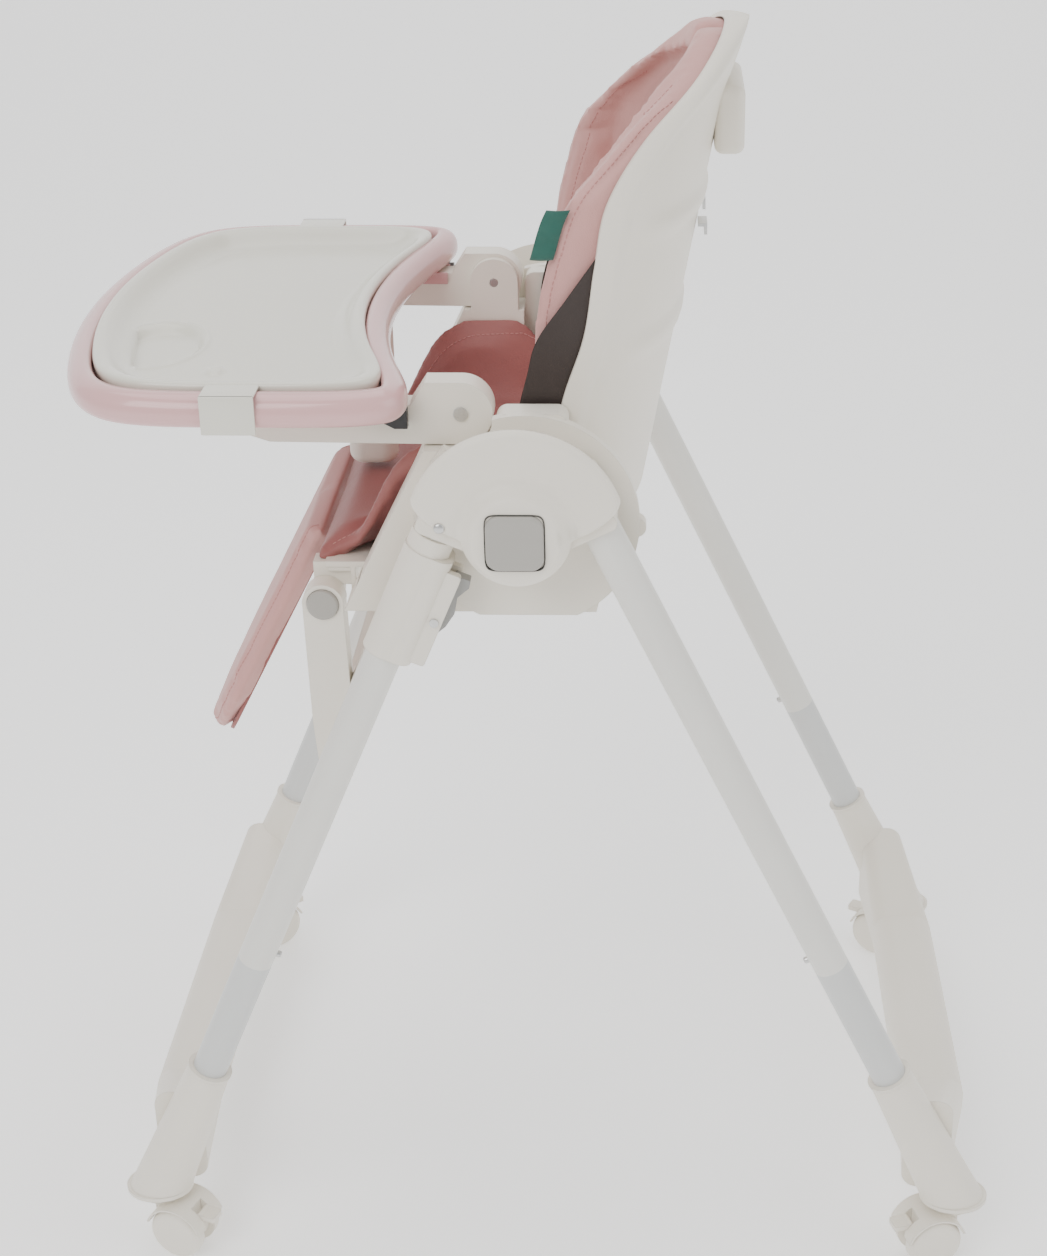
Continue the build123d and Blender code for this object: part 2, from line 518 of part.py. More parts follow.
def calf_pad():
    """Tongue-shaped cushion hanging in front of the seat."""
    length = calf_length()
    tongue = Pos(0, length / 2) * Rectangle(2 * CALF_HALF, length)
    tongue = fillet(tongue.vertices().sort_by(Axis.Y)[-2:], 0.6 * CALF_HALF)
    solid = extrude(calf_plane().offset(-CALF_R) * tongue, 2 * CALF_R)
    solid = fillet(solid.faces().sort_by(Axis.Z)[0].edges(), 3.0)
    return solid + disc(CALF_Y, CALF_Z, CALF_R, -CALF_HALF, CALF_HALF)


def calf_board():
    """Stiffening board on the back of the calf cushion."""
    length = calf_length()
    outline = Pos(0, length / 2 + 4) * RectangleRounded(2 * BOARD_HALF, length - 60, 20)
    return extrude(calf_plane().offset(CALF_R) * outline, BOARD_THICK)


# ---------------------------------------------------------------- back
def line_y(line, z):
    """Y of a side-view line at a height, straight between its (z, y) points."""
    for low, high in zip(line, line[1:]):
        if z <= high[0]:
            break
    return low[1] + (high[1] - low[1]) * (z - low[0]) / (high[0] - low[0])


def back_half(z):
    """Half the shell's width at a height: parallel sides and an arched top."""
    rise = max(0.0, (z - ARCH_FROM) / (ARCH_TOP - ARCH_FROM))
    return BACK_HALF * (1 - rise ** 2.6) ** 0.5


def half_ellipse(z, inset, forward=1.0):
    """Plan view of the back at a height, inset from its outside, with straight sides that reach forward."""
    front, half = line_y(RIM_LINE, z), back_half(z) - inset
    depth, start = line_y(REAR_LINE, z) - front - inset, front - forward
    lines = Curve() + [
        EllipticalCenterArc((0, front), half, depth, start_angle=0, arc_size=180),
        Line((-half, front), (-half, start)),
        Line((-half, start), (half, start)),
        Line((half, start), (half, front)),
    ]
    return Plane.XY.offset(z) * make_face(lines)


def back_form(inset, low, high, forward=1.0):
    """The space inside the back's outer surface, or inside that surface pulled in by an inset."""
    heights = [low] + [z for z, _ in RIM_LINE if low + 2 < z < high - 2] + [high]
    return loft([half_ellipse(z, inset, forward) for z in heights], ruled=True)


def back_shell():
    """Moulded back: a U-shaped shell with the recline handle's housing at its top rear."""
    space = back_form(BACK_WALL, BACK_BOTTOM - 1, BACK_TOP - BACK_WALL, 3.0)
    solid = back_form(0, BACK_BOTTOM, BACK_TOP)
    half, rear = HANDLE_HALF - HANDLE_WALL, line_y(REAR_LINE, HANDLE_HIGH)
    solid += block(-HANDLE_HALF, HANDLE_HALF, rear - 20, HANDLE_OUT, HANDLE_LOW, HANDLE_HIGH)
    solid -= block(-half, half, rear, HANDLE_OUT - HANDLE_WALL, HANDLE_LOW, HANDLE_HIGH - HANDLE_WALL)
    solid -= space
    for side in SIDES:
        lug = Pos(RECLINE_Y + 8, RECLINE_Z) * Rectangle(40, 34) + Pos(RECLINE_Y, RECLINE_Z) * Circle(17)
        solid += on_side(slab(lug, BACK_HALF - 6, BACK_HALF), side)
    for side in SIDES:
        solid -= on_side(disc(RECLINE_Y, RECLINE_Z, BACK_PIN_R + SNUG, BACK_HALF - 8, BACK_HALF + 4), side)
    return solid


def back_pin():
    return disc(RECLINE_Y, RECLINE_Z, BACK_PIN_R, BACK_HALF - 6, SEAT_HALF - SIDE_WALL)


def recline_handle():
    """Squeeze bar inside the housing at the top of the back."""
    rear = line_y(REAR_LINE, HANDLE_HIGH)
    half = HANDLE_HALF - HANDLE_WALL - HANDLE_GAP
    low = HANDLE_LOW + HANDLE_TRAVEL
    solid = block(-half, half, rear + HANDLE_GAP, HANDLE_OUT - HANDLE_WALL - HANDLE_GAP, low, low + 18)
    return fillet(solid.edges().filter_by(Axis.X), 3.0)


def back_pad():
    """Back cushion lining the shell, with a wing standing forward at each side and a closed top."""
    skin = BACK_WALL + 4.0
    low = [half_ellipse(z, skin) for z in (BACK_PAD_LOW, BACK_WING_LOW)]
    hollow = [half_ellipse(z, skin + BACK_PAD_THICK, 4) for z in (BACK_PAD_LOW - 1, BACK_WING_LOW)]
    heights = [z for z, _ in WING_LINE]
    forward = {z: line_y(RIM_LINE, z) - y for z, y in WING_LINE}
    outer = [half_ellipse(z, skin, forward[z]) for z in heights]
    under = [z for z in heights if z < BACK_PAD_TOP - BACK_PAD_THICK + 4]
    inner = [half_ellipse(z, skin + BACK_PAD_THICK, forward[z] + 4) for z in under]
    solid = loft(low, ruled=True) - loft(hollow, ruled=True)
    return solid + (loft(outer, ruled=True) - loft(inner, ruled=True))


def rear_face(x, z):
    """Y of the shell's rear face at a place on it."""
    front = line_y(RIM_LINE, z)
    return front + (line_y(REAR_LINE, z) - front) * (1 - (x / back_half(z)) ** 2) ** 0.5


def belt_clip():
    """Metal loop on the rear of the back where the belt ends."""
    x, out, thick = CLIP_X, CLIP_X + CLIP_LENGTH, CLIP_THICK
    y = rear_face(x, CLIP_Z) + CLEAR
    solid = block(x, out, y, y + CLIP_DEEP, CLIP_Z - thick, CLIP_Z)
    return solid + block(x, out, y + CLIP_DEEP - thick, y + CLIP_DEEP, CLIP_Z - CLIP_DROP, CLIP_Z)


# ---------------------------------------------------------------- arms and tray
def armrest():
    """Arm that carries the tray: round pivot end, stepped top, nose turned up."""
    top = TRAY_LOW - CLEAR
    low = ARM_Z - ARM_R
    step = NOTCH + NOTCH_BOW * ARM_OUT ** 2 / TRAY_HALF + 1.0
    nose = shape((ARM_Y, low), (-206, low + 2), (-229.5, low + 10), (-229.5, top), (step, top),
                 (step + 12, ARM_Z + ARM_R), (ARM_Y, ARM_Z + ARM_R))
    solid = slab(nose + Pos(ARM_Y, ARM_Z) * Circle(ARM_R), ARM_IN, ARM_OUT)
    return solid - disc(ARM_Y, ARM_Z, ARM_PIN_R + SNUG, ARM_IN, ARM_OUT)


def tray_outline(half, nose, notch, nose_corner, horn):
    """Plan of the tray: a bowed nose, straight sides and a hollow rear edge, all corners rounded."""
    front_y, rear_y = nose + NOSE_BOW * half, notch + NOTCH_BOW * half
    lines = Curve() + [
        ThreePointArc((-half, front_y), (0, nose), (half, front_y)),
        Line((half, front_y), (half, rear_y)),
        ThreePointArc((half, rear_y), (0, notch), (-half, rear_y)),
        Line((-half, rear_y), (-half, front_y)),
    ]
    face = make_face(lines)
    face = fillet(face.vertices().sort_by(Axis.Y)[:2], nose_corner)
    return fillet(face.vertices().sort_by(Axis.Y)[-2:], horn)


def insert_outline(inset=0.0):
    outline = tray_outline(TRAY_HALF - RIM_SIDE, TRAY_NOSE + RIM, NOTCH - RIM, 62.0, 30.0)
    return offset(outline, -inset) if inset else outline


def plate(sketch, low, high):
    return extrude(Plane.XY.offset(low) * sketch, high - low, dir=(0, 0, 1))


def tray_frame():
    """Coloured tray body with a pocket for the insert and guides that hold it on the arms."""
    solid = plate(tray_outline(TRAY_HALF, TRAY_NOSE, NOTCH, 78.0, 50.0), TRAY_LOW, TRAY_HIGH)
    rims = solid.faces().sort_by(Axis.Z)
    solid = fillet(rims[0].edges() + rims[-1].edges(), TRAY_ROUND)
    solid -= plate(insert_outline(-CLEAR), TRAY_LOW + TRAY_FLOOR, TRAY_HIGH + 1)
    for x in (ARM_IN - CLEAR - GUIDE_THICK, ARM_OUT + CLEAR):
        guide = block(x, x + GUIDE_THICK, GUIDE_FRONT, GUIDE_REAR, TRAY_LOW - GUIDE_DEEP, TRAY_LOW + 1)
        solid += guide + mirrored(guide)
    return solid


def tray_insert():
    """White tray that lifts off: raised rim, cup recess and a tab over each side of the frame."""
    low = TRAY_LOW + TRAY_FLOOR + CLEAR
    solid = plate(insert_outline(), low, INSERT_HIGH)
    solid -= plate(insert_outline(INSERT_WALL), low, INSERT_FLOOR - INSERT_WALL)
    solid -= plate(insert_outline(INSERT_LIP), INSERT_FLOOR, INSERT_HIGH)
    cup = Pos(CUP_X, CUP_Y) * Ellipse(CUP_A + INSERT_WALL, CUP_B + INSERT_WALL)
    solid += plate(cup, INSERT_FLOOR - CUP_DEEP - INSERT_WALL, INSERT_FLOOR - 1)
    solid -= plate(Pos(CUP_X, CUP_Y) * Ellipse(CUP_A, CUP_B), INSERT_FLOOR - CUP_DEEP, INSERT_HIGH)
    out, top = TRAY_HALF + CLEAR, INSERT_HIGH + 0.5
    front, rear = TAB_Y - TAB_HALF, TAB_Y + TAB_HALF
    tab = block(out - RIM_SIDE - 2, out + INSERT_WALL, front, rear, TRAY_HIGH + CLEAR, top)
    tab += block(out, out + INSERT_WALL, front, rear, TAB_LOW, top)
    return solid + tab + mirrored(tab)


def crotch_post():
    solid = plate(Pos(0, POST_Y) * RectangleRounded(POST_X, POST_DEPTH, 13), POST_LOW, TRAY_LOW)
    return fillet(solid.faces().sort_by(Axis.Z)[0].edges(), 10.0)


def tray_latch():
    """Black slide at the tray's rear that frees it from the arm."""
    start = ARM_OUT + CLEAR + GUIDE_THICK + CLEAR
    high = TRAY_LOW - CLEAR
    solid = block(start, start + LATCH_WIDTH, LATCH_FRONT, LATCH_REAR, LATCH_LOW, high)
    front, low = LATCH_FRONT - 1, LATCH_LOW - 1
    ramp = shape((front, low), (LATCH_REAR - 8, low), (front, high - 3))
    return solid - slab(ramp, start - 1, start + LATCH_WIDTH + 1)


# ---------------------------------------------------------------- the assembly
def pair(solid):
    return [solid, mirrored(solid)]


parts = {}
for end, name in ((FRONT, "front"), (REAR, "rear")):
    parts[name + "_base_bar"] = [base_bar(end)]
    parts[name + "_upper_tubes"] = tubes(end, lower=False)
    parts[name + "_lower_tubes"] = tubes(end, lower=True)
    parts[name + "_screws"] = pair(leg_screw(end))
    for side, hand in ((1, "right"), (-1, "left")):
        label = name + "_" + hand
        parts[name + "_hub_bracket_" + hand] = [on_side(hub_bracket(end), side)]
        parts[label + "_snap_button"] = [snap_button(end, side)]
        place = caster_place(end, side)
        parts[label + "_caster_fork"] = [place * caster_fork()]
        parts[label + "_caster_wheels"] = [place * caster_wheels()]
        parts[label + "_caster_brake"] = [place * caster_brake()]
for side, hand in ((1, "right"), (-1, "left")):
    parts["hub_cover_" + hand] = [on_side(hub_cover(), side)]
    parts["hub_button_" + hand] = [on_side(hub_button(), side)]
    parts["height_sleeve_" + hand] = [on_side(height_sleeve(), side)]
    parts["height_lever_" + hand] = [on_side(height_lever(), side)]
    parts["footrest_cap_" + hand] = [on_side(footrest_cap(), side)]
    parts["armrest_" + hand] = [on_side(armrest(), side)]
parts["hub_pins"] = pair(hub_pin())
parts["lever_screws"] = pair(lever_screw())
parts["arm_screws"] = pair(arm_screw())
parts["seat_shell"] = [seat_shell()]
parts["seat_pad"] = [seat_pad()]
parts["footrest_shaft"] = [footrest_shaft()]
parts["footrest_frame"] = [footrest_frame()]
parts["calf_pad"] = [calf_pad()]
parts["calf_board"] = [calf_board()]
parts["back_shell"] = [back_shell()]
parts["back_pad"] = [back_pad()]
parts["back_pins"] = pair(back_pin())
parts["recline_handle"] = [recline_handle()]
parts["belt_clips"] = pair(belt_clip())
parts["tray_frame"] = [tray_frame()]
parts["tray_insert"] = [tray_insert()]
parts["crotch_post"] = [crotch_post()]
parts["tray_latches"] = pair(tray_latch())

os.makedirs("parts", exist_ok=True)
for name, solids in parts.items():
    export_step(Compound(children=solids) if len(solids) > 1 else solids[0], "parts/" + name + ".step")
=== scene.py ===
import json
import math

import bpy
import numpy as np
from mathutils import Matrix, Vector
from mathutils.bvhtree import BVHTree


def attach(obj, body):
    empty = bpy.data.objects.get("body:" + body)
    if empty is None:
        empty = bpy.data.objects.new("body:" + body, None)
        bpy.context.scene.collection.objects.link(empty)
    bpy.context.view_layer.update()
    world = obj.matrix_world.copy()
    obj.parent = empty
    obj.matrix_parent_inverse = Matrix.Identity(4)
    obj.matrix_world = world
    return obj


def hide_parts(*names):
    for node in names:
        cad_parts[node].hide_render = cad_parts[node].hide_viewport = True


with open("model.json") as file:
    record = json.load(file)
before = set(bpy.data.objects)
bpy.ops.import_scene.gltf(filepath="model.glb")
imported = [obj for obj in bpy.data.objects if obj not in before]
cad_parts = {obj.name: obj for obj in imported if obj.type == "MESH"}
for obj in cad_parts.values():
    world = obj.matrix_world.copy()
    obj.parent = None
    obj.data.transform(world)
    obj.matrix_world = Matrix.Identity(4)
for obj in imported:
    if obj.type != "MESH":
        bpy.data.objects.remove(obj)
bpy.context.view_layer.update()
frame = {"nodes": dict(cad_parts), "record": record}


# ---- Ivory plastic mouldings ------------------------------------------------
# Legs' base bars, hubs, seat shell, arms and casters are injection-moulded polypropylene in warm white.
# The moulds are finely sparked, so the surface is satin with a faint orange peel, and its edges are rounded.
class Value:
    """A socket of a material; arithmetic on it adds Math nodes."""

    def __init__(self, finish, socket):
        self.finish = finish
        self.socket = socket

    def _math(self, operation, left, right):
        return self.finish.node("ShaderNodeMath", {"operation": operation}, {0: left, 1: right})

    def __add__(self, other):
        return self._math("ADD", self, other)

    def __mul__(self, other):
        return self._math("MULTIPLY", self, other)


class Finish:
    """A material under construction: its shader and the nodes that feed it."""

    def __init__(self, name, **sockets):
        self.material = bpy.data.materials.new(name)
        self.material.use_nodes = True
        self.tree = self.material.node_tree
        self.shader = self.tree.nodes["Principled BSDF"]
        for key, value in sockets.items():
            self.shader.inputs[key.replace("_", " ")].default_value = value
        self.place = self.node("ShaderNodeTexCoord", out="Object")

    def node(self, kind, settings=None, sockets=None, out=0):
        """Adds a node: first its settings, or a ramp's stops, then the values or links of its sockets."""
        made = self.tree.nodes.new(kind)
        for key, value in (settings or {}).items():
            if key == "stops":
                ramp = made.color_ramp.elements
                while len(ramp) < len(value):
                    ramp.new(0.5)
                for element, (at, colour) in zip(ramp, value):
                    element.position = at
                    element.color = colour
            else:
                setattr(made, key, value)
        for key, value in (sockets or {}).items():
            if isinstance(value, Value):
                self.tree.links.new(value.socket, made.inputs[key])
            else:
                made.inputs[key].default_value = value
        return Value(self, made.outputs[out])

    def noise(self, scale, detail=2.0, roughness=0.5):
        sockets = {"Vector": self.place, "Scale": scale, "Detail": detail, "Roughness": roughness}
        return self.node("ShaderNodeTexNoise", {}, sockets, "Fac")

    def mix(self, factor, low, high):
        """A colour between two others."""
        sockets = {0: factor, 6: low, 7: high}
        return self.node("ShaderNodeMix", {"data_type": "RGBA"}, sockets, 2)

    def feed(self, key, value):
        self.tree.links.new(value.socket, self.shader.inputs[key])

    def relief(self, height, distance, softened=0.0):
        """Bump from a height, over edges rounded by a small radius."""
        sockets = {"Height": height, "Strength": 1.0, "Distance": distance}
        if softened:
            sockets["Normal"] = self.node("ShaderNodeBevel", {"samples": 4}, {"Radius": softened}, "Normal")
        self.feed("Normal", self.node("ShaderNodeBump", {}, sockets, "Normal"))


def shade(colour, factor):
    """A colour made lighter or darker, as four numbers."""
    return tuple(channel * factor for channel in colour[:3]) + (1.0,)


def plastic(name, colour, roughness, grain=0.00004, softened=0.0012, **sockets):
    """Moulded plastic: a slow drift of tone, a fine sparked grain and rounded edges."""
    finish = Finish(name, **sockets)
    drift = finish.noise(9.0, 3.0)
    finish.feed("Base Color", finish.mix(drift, shade(colour, 0.955), shade(colour, 1.03)))
    grit = finish.noise(1400.0, 2.0)
    finish.feed("Roughness", finish.noise(60.0) * 0.08 + (roughness - 0.04))
    finish.relief(grit + finish.noise(260.0) * 0.6, grain, softened)
    return finish.material


def dress(material, *nodes):
    """Gives CAD nodes a material in place of the plain one."""
    for node in nodes:
        mesh = frame["nodes"][node].data
        mesh.materials.clear()
        mesh.materials.append(material)


IVORY = (0.80, 0.755, 0.665)
ivory = plastic("ivory_plastic", IVORY, 0.42, Specular_IOR_Level=0.45)
SLOT_OF = {part["node"]: part["material_slot"] for part in frame["record"]["subparts"]}
dress(ivory, *[node for node, slot in SLOT_OF.items() if slot == "ivory_plastic"])


# ---- Leg tubes ---------------------------------------------------------------
# Drawn steel tube with baked powder coat: the upper tubes are white, the lower ones a cooler pale grey.
# Powder coat has a shallow orange peel and a soft gloss.
def powder_coat(name, colour):
    finish = Finish(name, Roughness=0.34, Specular_IOR_Level=0.5)
    finish.feed("Base Color", finish.mix(finish.noise(14.0), shade(colour, 0.965), shade(colour, 1.02)))
    finish.relief(finish.noise(420.0, 3.0), 0.00012)
    return finish.material


white_tube = powder_coat("white_powder_coat", (0.735, 0.725, 0.68))
grey_tube = powder_coat("grey_powder_coat", (0.60, 0.61, 0.60))
for end in ("front", "rear"):
    dress(white_tube, end + "_upper_tubes")
    dress(grey_tube, end + "_lower_tubes")


# ---- Screws, pins and snap buttons -------------------------------------------
# Zinc-plated steel: bright, with fine turning marks and slight haze.
def plated_steel():
    finish = Finish("zinc_plate", Metallic=1.0)
    finish.feed("Base Color", finish.mix(finish.noise(300.0), (0.52, 0.52, 0.51, 1), (0.68, 0.68, 0.67, 1)))
    finish.feed("Roughness", finish.noise(900.0) * 0.18 + 0.22)
    finish.relief(finish.noise(2200.0), 0.00003, 0.0004)
    return finish.material


steel = plated_steel()
dress(steel, *[node for node, slot in SLOT_OF.items() if slot == "bright_steel"])


# ---- Grey buttons and levers ---------------------------------------------------
# The fold buttons, the footrest caps and the height levers are grey ABS, a little smoother than the ivory.
# The tray latches are black, and the back's lining is dark brown.
button_grey = plastic("button_grey", (0.36, 0.345, 0.315), 0.38)
lever_grey = plastic("lever_grey", (0.30, 0.30, 0.29), 0.40)
latch_black = plastic("latch_black", (0.018, 0.018, 0.018), 0.40)
lining_brown = plastic("lining_brown", (0.030, 0.019, 0.016), 0.55, grain=0.00012)
for hand in ("right", "left"):
    dress(button_grey, "hub_button_" + hand, "footrest_cap_" + hand)
    dress(lever_grey, "height_lever_" + hand)
dress(latch_black, "tray_latches")


# ---- Moulded back shell --------------------------------------------------------
# A deep half-round shell, moulded in one piece, with a thick rolled rim round its front and top.
# A grip housing stands off its rear near the top, and two pairs of shallow ribs stiffen its sides.
BACK_LOW, BACK_TOP = 0.668, 1.0455
ARCH_FROM = 0.880
SHELL_HALF = 0.176
SHELL_WALL = 0.004


def eased(low, high, value):
    """Smooth step from 0 at low to 1 at high: 3t squared less 2t cubed."""
    t = np.clip((value - low) / (high - low), 0.0, 1.0)
    return t * t * (3.0 - 2.0 * t)


def through(stops, at):
    """A smooth curve through (position, value) stops: cubic pieces with slopes from the neighbours."""
    x, y = np.array(stops).T
    slope = np.gradient(y, x)
    index = np.clip(np.searchsorted(x, at) - 1, 0, len(x) - 2)
    width = x[index + 1] - x[index]
    t = np.clip((at - x[index]) / width, 0.0, 1.0)
    start, stop = y[index], y[index + 1]
    rise, run = slope[index] * width, slope[index + 1] * width
    return (start * (2 * t**3 - 3 * t**2 + 1) + rise * (t**3 - 2 * t**2 + t)
            + stop * (3 * t**2 - 2 * t**3) + run * (t**3 - t**2))


def rim_y(z):
    """Y of the shell's front rim at a height: upright, then sweeping back towards the top."""
    stops = [(0.668, 0.014), (0.784, 0.021), (0.835, 0.038), (0.891, 0.047), (0.937, 0.057),
             (0.979, 0.085), (1.016, 0.124), (1.0455, 0.150)]
    return through(stops, z)


def rear_y(z):
    """Y of the shell's rear at the middle: a straight slope with a flare at the top."""
    return 0.083 + 0.196 * (z - 0.668) + 0.008 * eased(0.985, 1.045, z)


def arch(z, half, top):
    """Half width at a height: parallel sides closed by a rounded arch."""
    rise = np.clip((z - ARCH_FROM) / (top - ARCH_FROM), 0.0, 1.0)
    return half * np.sqrt(1.0 - rise**2.6)


def grid_faces(rows, columns, wrap=False):
    """Quads between neighbouring points of a grid, the columns joined round if wrap."""
    last = columns if wrap else columns - 1
    row, column = np.meshgrid(np.arange(rows - 1), np.arange(last), indexing="ij")
    right = (column + 1) % columns
    low, high = row * columns, (row + 1) * columns
    quads = [low + column, low + right, high + right, high + column]
    return np.stack(quads, axis=-1).reshape(-1, 4)


def piece(name, points, faces, material, merge=0.00002, smooth=True):
    """A mesh object from points and faces, with touching points joined and faces turned outwards."""
    mesh = bpy.data.meshes.new(name)
    mesh.from_pydata(np.asarray(points).reshape(-1, 3).tolist(), [], [list(face) for face in faces])
    made = bpy.data.objects.new(name, mesh)
    bpy.context.scene.collection.objects.link(made)
    bpy.context.view_layer.objects.active = made
    bpy.ops.object.select_all(action="DESELECT")
    made.select_set(True)
    bpy.ops.object.mode_set(mode="EDIT")
    bpy.ops.mesh.select_all(action="SELECT")
    bpy.ops.mesh.remove_doubles(threshold=merge)
    bpy.ops.mesh.normals_make_consistent(inside=False)
    bpy.ops.object.mode_set(mode="OBJECT")
    mesh.polygons.foreach_set("use_smooth", np.full(len(mesh.polygons), smooth))
    mesh.materials.append(material)
    return made


def closed_sheet(name, outer, inner, material, merge=0.00002):
    """A solid wall between two grids of the same size: both faces, and strips along all four edges."""
    rows, columns = outer.shape[:2]
    count = rows * columns
    faces = grid_faces(rows, columns)
    index = np.arange(count).reshape(rows, columns)
    border = np.concatenate([index[0], index[1:, -1], index[-1, -2::-1], index[-2:0:-1, 0]])
    following = np.roll(border, -1)
    strip = np.stack([border, following, following + count, border + count], axis=-1)
    points = np.concatenate([outer.reshape(-1, 3), inner.reshape(-1, 3)])
    return piece(name, points, np.concatenate([faces, faces[:, ::-1] + count, strip]), material, merge)


def back_section(z, half, front, depth, wing, across):
    """Plan sections of the back: straight wings from wing to front, then half an ellipse round the rear.
    across runs from -1 to 1; its outer share on each side is the wing."""
    share = 0.22
    turn = np.clip((np.abs(across) / (1 - share)), 0, 1) * (math.pi / 2)
    forward = np.clip((np.abs(across) - (1 - share)) / share, 0, 1)
    x = np.sign(across) * half[:, None] * np.sin(turn)
    y = front[:, None] + depth[:, None] * np.cos(turn) - (front - wing)[:, None] * forward
    return np.stack([x, y, np.broadcast_to(z[:, None], x.shape)], axis=-1)


ROWS, COLUMNS = 90, 121
up = np.sin(np.linspace(0, 1, ROWS) * math.pi / 2)
across = np.linspace(-1, 1, COLUMNS)[None, :]


def shell_face(inset, top, proud):
    """One face of the shell, inset from the outside; proud thickens the rim band near the front edge."""
    z = BACK_LOW + (top - BACK_LOW) * up
    half = np.maximum(arch(z, SHELL_HALF, top) - inset, 0.0)
    front = rim_y(z)
    depth = np.maximum(rear_y(z) - front - inset, 0.004)
    face = back_section(z, half, front, depth, front - 0.001, across)
    band = 1.0 - eased(0.015, 0.022, face[..., 1] - front[:, None])
    outwards = np.stack([np.sign(face[..., 0]) * band, 0.25 * band, 0 * band], axis=-1)
    outwards[..., 0] *= np.minimum(1.0, np.abs(face[..., 0]) / 0.02)
    return face + outwards * proud


def rib(face, low, high, side_y):
    """How far a shallow oval rib stands out at each point of the shell's outside."""
    along = (face[..., 2] - (low + high) / 2) / ((high - low) / 2)
    beside = (face[..., 1] - side_y) / 0.034
    return 0.0032 * np.exp(-(along**4)) * np.exp(-(beside**4))


outside = shell_face(0.0, BACK_TOP, 0.003)
for low, high, side_y in ((0.905, 0.922, 0.112), (0.808, 0.826, 0.096)):
    outside[..., 1] += rib(outside, low, high, side_y)
    outside[..., 0] += np.sign(outside[..., 0]) * rib(outside, low, high, side_y) * 0.8
inside = shell_face(SHELL_WALL, BACK_TOP - SHELL_WALL, 0.0)
shell = closed_sheet("back_shell_moulding", outside, inside, ivory)
bevel = shell.modifiers.new("edges", "BEVEL")
bevel.width = 0.0012
bevel.segments = 2
bevel.angle_limit = math.radians(50)


def box_piece(name, low, high, material, radius, segments=4):
    """A box with rounded edges between two corners."""
    low, high = np.array(low), np.array(high)
    bits = np.array([[i >> 2 & 1, i >> 1 & 1, i & 1] for i in range(8)])
    faces = [(0, 1, 3, 2), (4, 6, 7, 5), (0, 4, 5, 1), (2, 3, 7, 6), (0, 2, 6, 4), (1, 5, 7, 3)]
    made = piece(name, low + bits * (high - low), faces, material, smooth=True)
    edges = made.modifiers.new("edges", "BEVEL")
    edges.width = radius
    edges.segments = segments
    return made


HOUSING_HALF, HOUSING_LOW, HOUSING_HIGH = 0.055, 0.946, 1.000
HOUSING_FRONT, HOUSING_REAR = 0.138, 0.162
housing = box_piece("handle_housing", (-HOUSING_HALF, HOUSING_FRONT, HOUSING_LOW),
                    (HOUSING_HALF, HOUSING_REAR, HOUSING_HIGH), ivory, 0.007)
for made in (shell, housing):
    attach(made, "back")
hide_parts("back_shell")


# ---- Dark lining between back cushion and shell -----------------------------------
# A woven dark brown backing closes the gap between the cushion's free side flap and the moulded shell.
lining_z = np.linspace(0.700, 0.905, 40)
lining_half = arch(lining_z, SHELL_HALF, BACK_TOP) - SHELL_WALL - 0.0035
lining_front = rim_y(lining_z) + 0.004
lining_depth = rear_y(lining_z) - lining_front - SHELL_WALL - 0.004
lining_face = back_section(lining_z, lining_half, lining_front, lining_depth, lining_front - 0.012, across)
inward = back_section(lining_z, lining_half - 0.0015, lining_front, lining_depth - 0.0015,
                      lining_front - 0.012, across)
lining = closed_sheet("back_lining", lining_face, inward, lining_brown)


def lining_flap(side):
    """The part of the lining that shows: from the cushion's slanted side hem back to the shell's rim,
    and there stepping in behind the rim."""
    z = np.linspace(0.700, 0.897, 48)[:, None]
    hem = through([(0.700, -0.014), (0.779, -0.0132), (0.805, -0.0064), (0.829, 0.0), (0.865, 0.0246),
                   (0.897, 0.0475)], z)
    rim = rim_y(z)
    y = hem + (np.maximum(rim + 0.004, hem + 0.002) - hem) * np.linspace(0, 1, 24)[None, :]
    x = SHELL_HALF - 0.0008 - 0.0062 * eased(rim - 0.001, rim + 0.003, y)
    face = np.stack([side * x, y, z + 0 * y], axis=-1)
    return closed_sheet("lining_flap", face, face - np.array([side * 0.001, 0.0, 0.0]), lining_brown)


for made in (lining, lining_flap(1), lining_flap(-1)):
    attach(made, "back")


# ---- Cushion covers -------------------------------------------------------------------
# Soft polyurethane leather over foam, with a fine pebble grain and gentle creases.
# It is sewn with matching thread.
def soft_leather(name, colour, deep):
    """Leather: grain in two sizes, slow tone changes, and sheen that softens the edges."""
    finish = Finish(name, Sheen_Weight=0.12, Sheen_Roughness=0.45, Specular_IOR_Level=0.36)
    tone = finish.noise(7.0, 4.0) * 0.7 + finish.noise(40.0) * 0.3
    finish.feed("Base Color", finish.mix(tone, deep, colour))
    pebble = finish.node("ShaderNodeTexVoronoi", {"feature": "SMOOTH_F1"},
                         {"Vector": finish.place, "Scale": 950.0}, "Distance")
    crease = finish.noise(55.0, 4.0, 0.6)
    finish.feed("Roughness", pebble * 0.10 + crease * 0.08 + 0.44)
    finish.relief(pebble * 0.35 + crease * 0.9, 0.0005)
    return finish.material


ROSE = (0.60, 0.325, 0.30, 1)
rose_leather = soft_leather("rose_leather", ROSE, (0.54, 0.28, 0.258, 1))
# A much darker copy of the same rose leather, as painted shade: the seat cushion under the tray and the calf
# board take it in place of the rose leather.
painted_shade_leather = soft_leather("painted_shade_leather", (0.34, 0.125, 0.115, 1), (0.28, 0.10, 0.092, 1))


# The calf board takes the darker copy of the rose leather, which paints shade on it.
dress(painted_shade_leather, "calf_board")


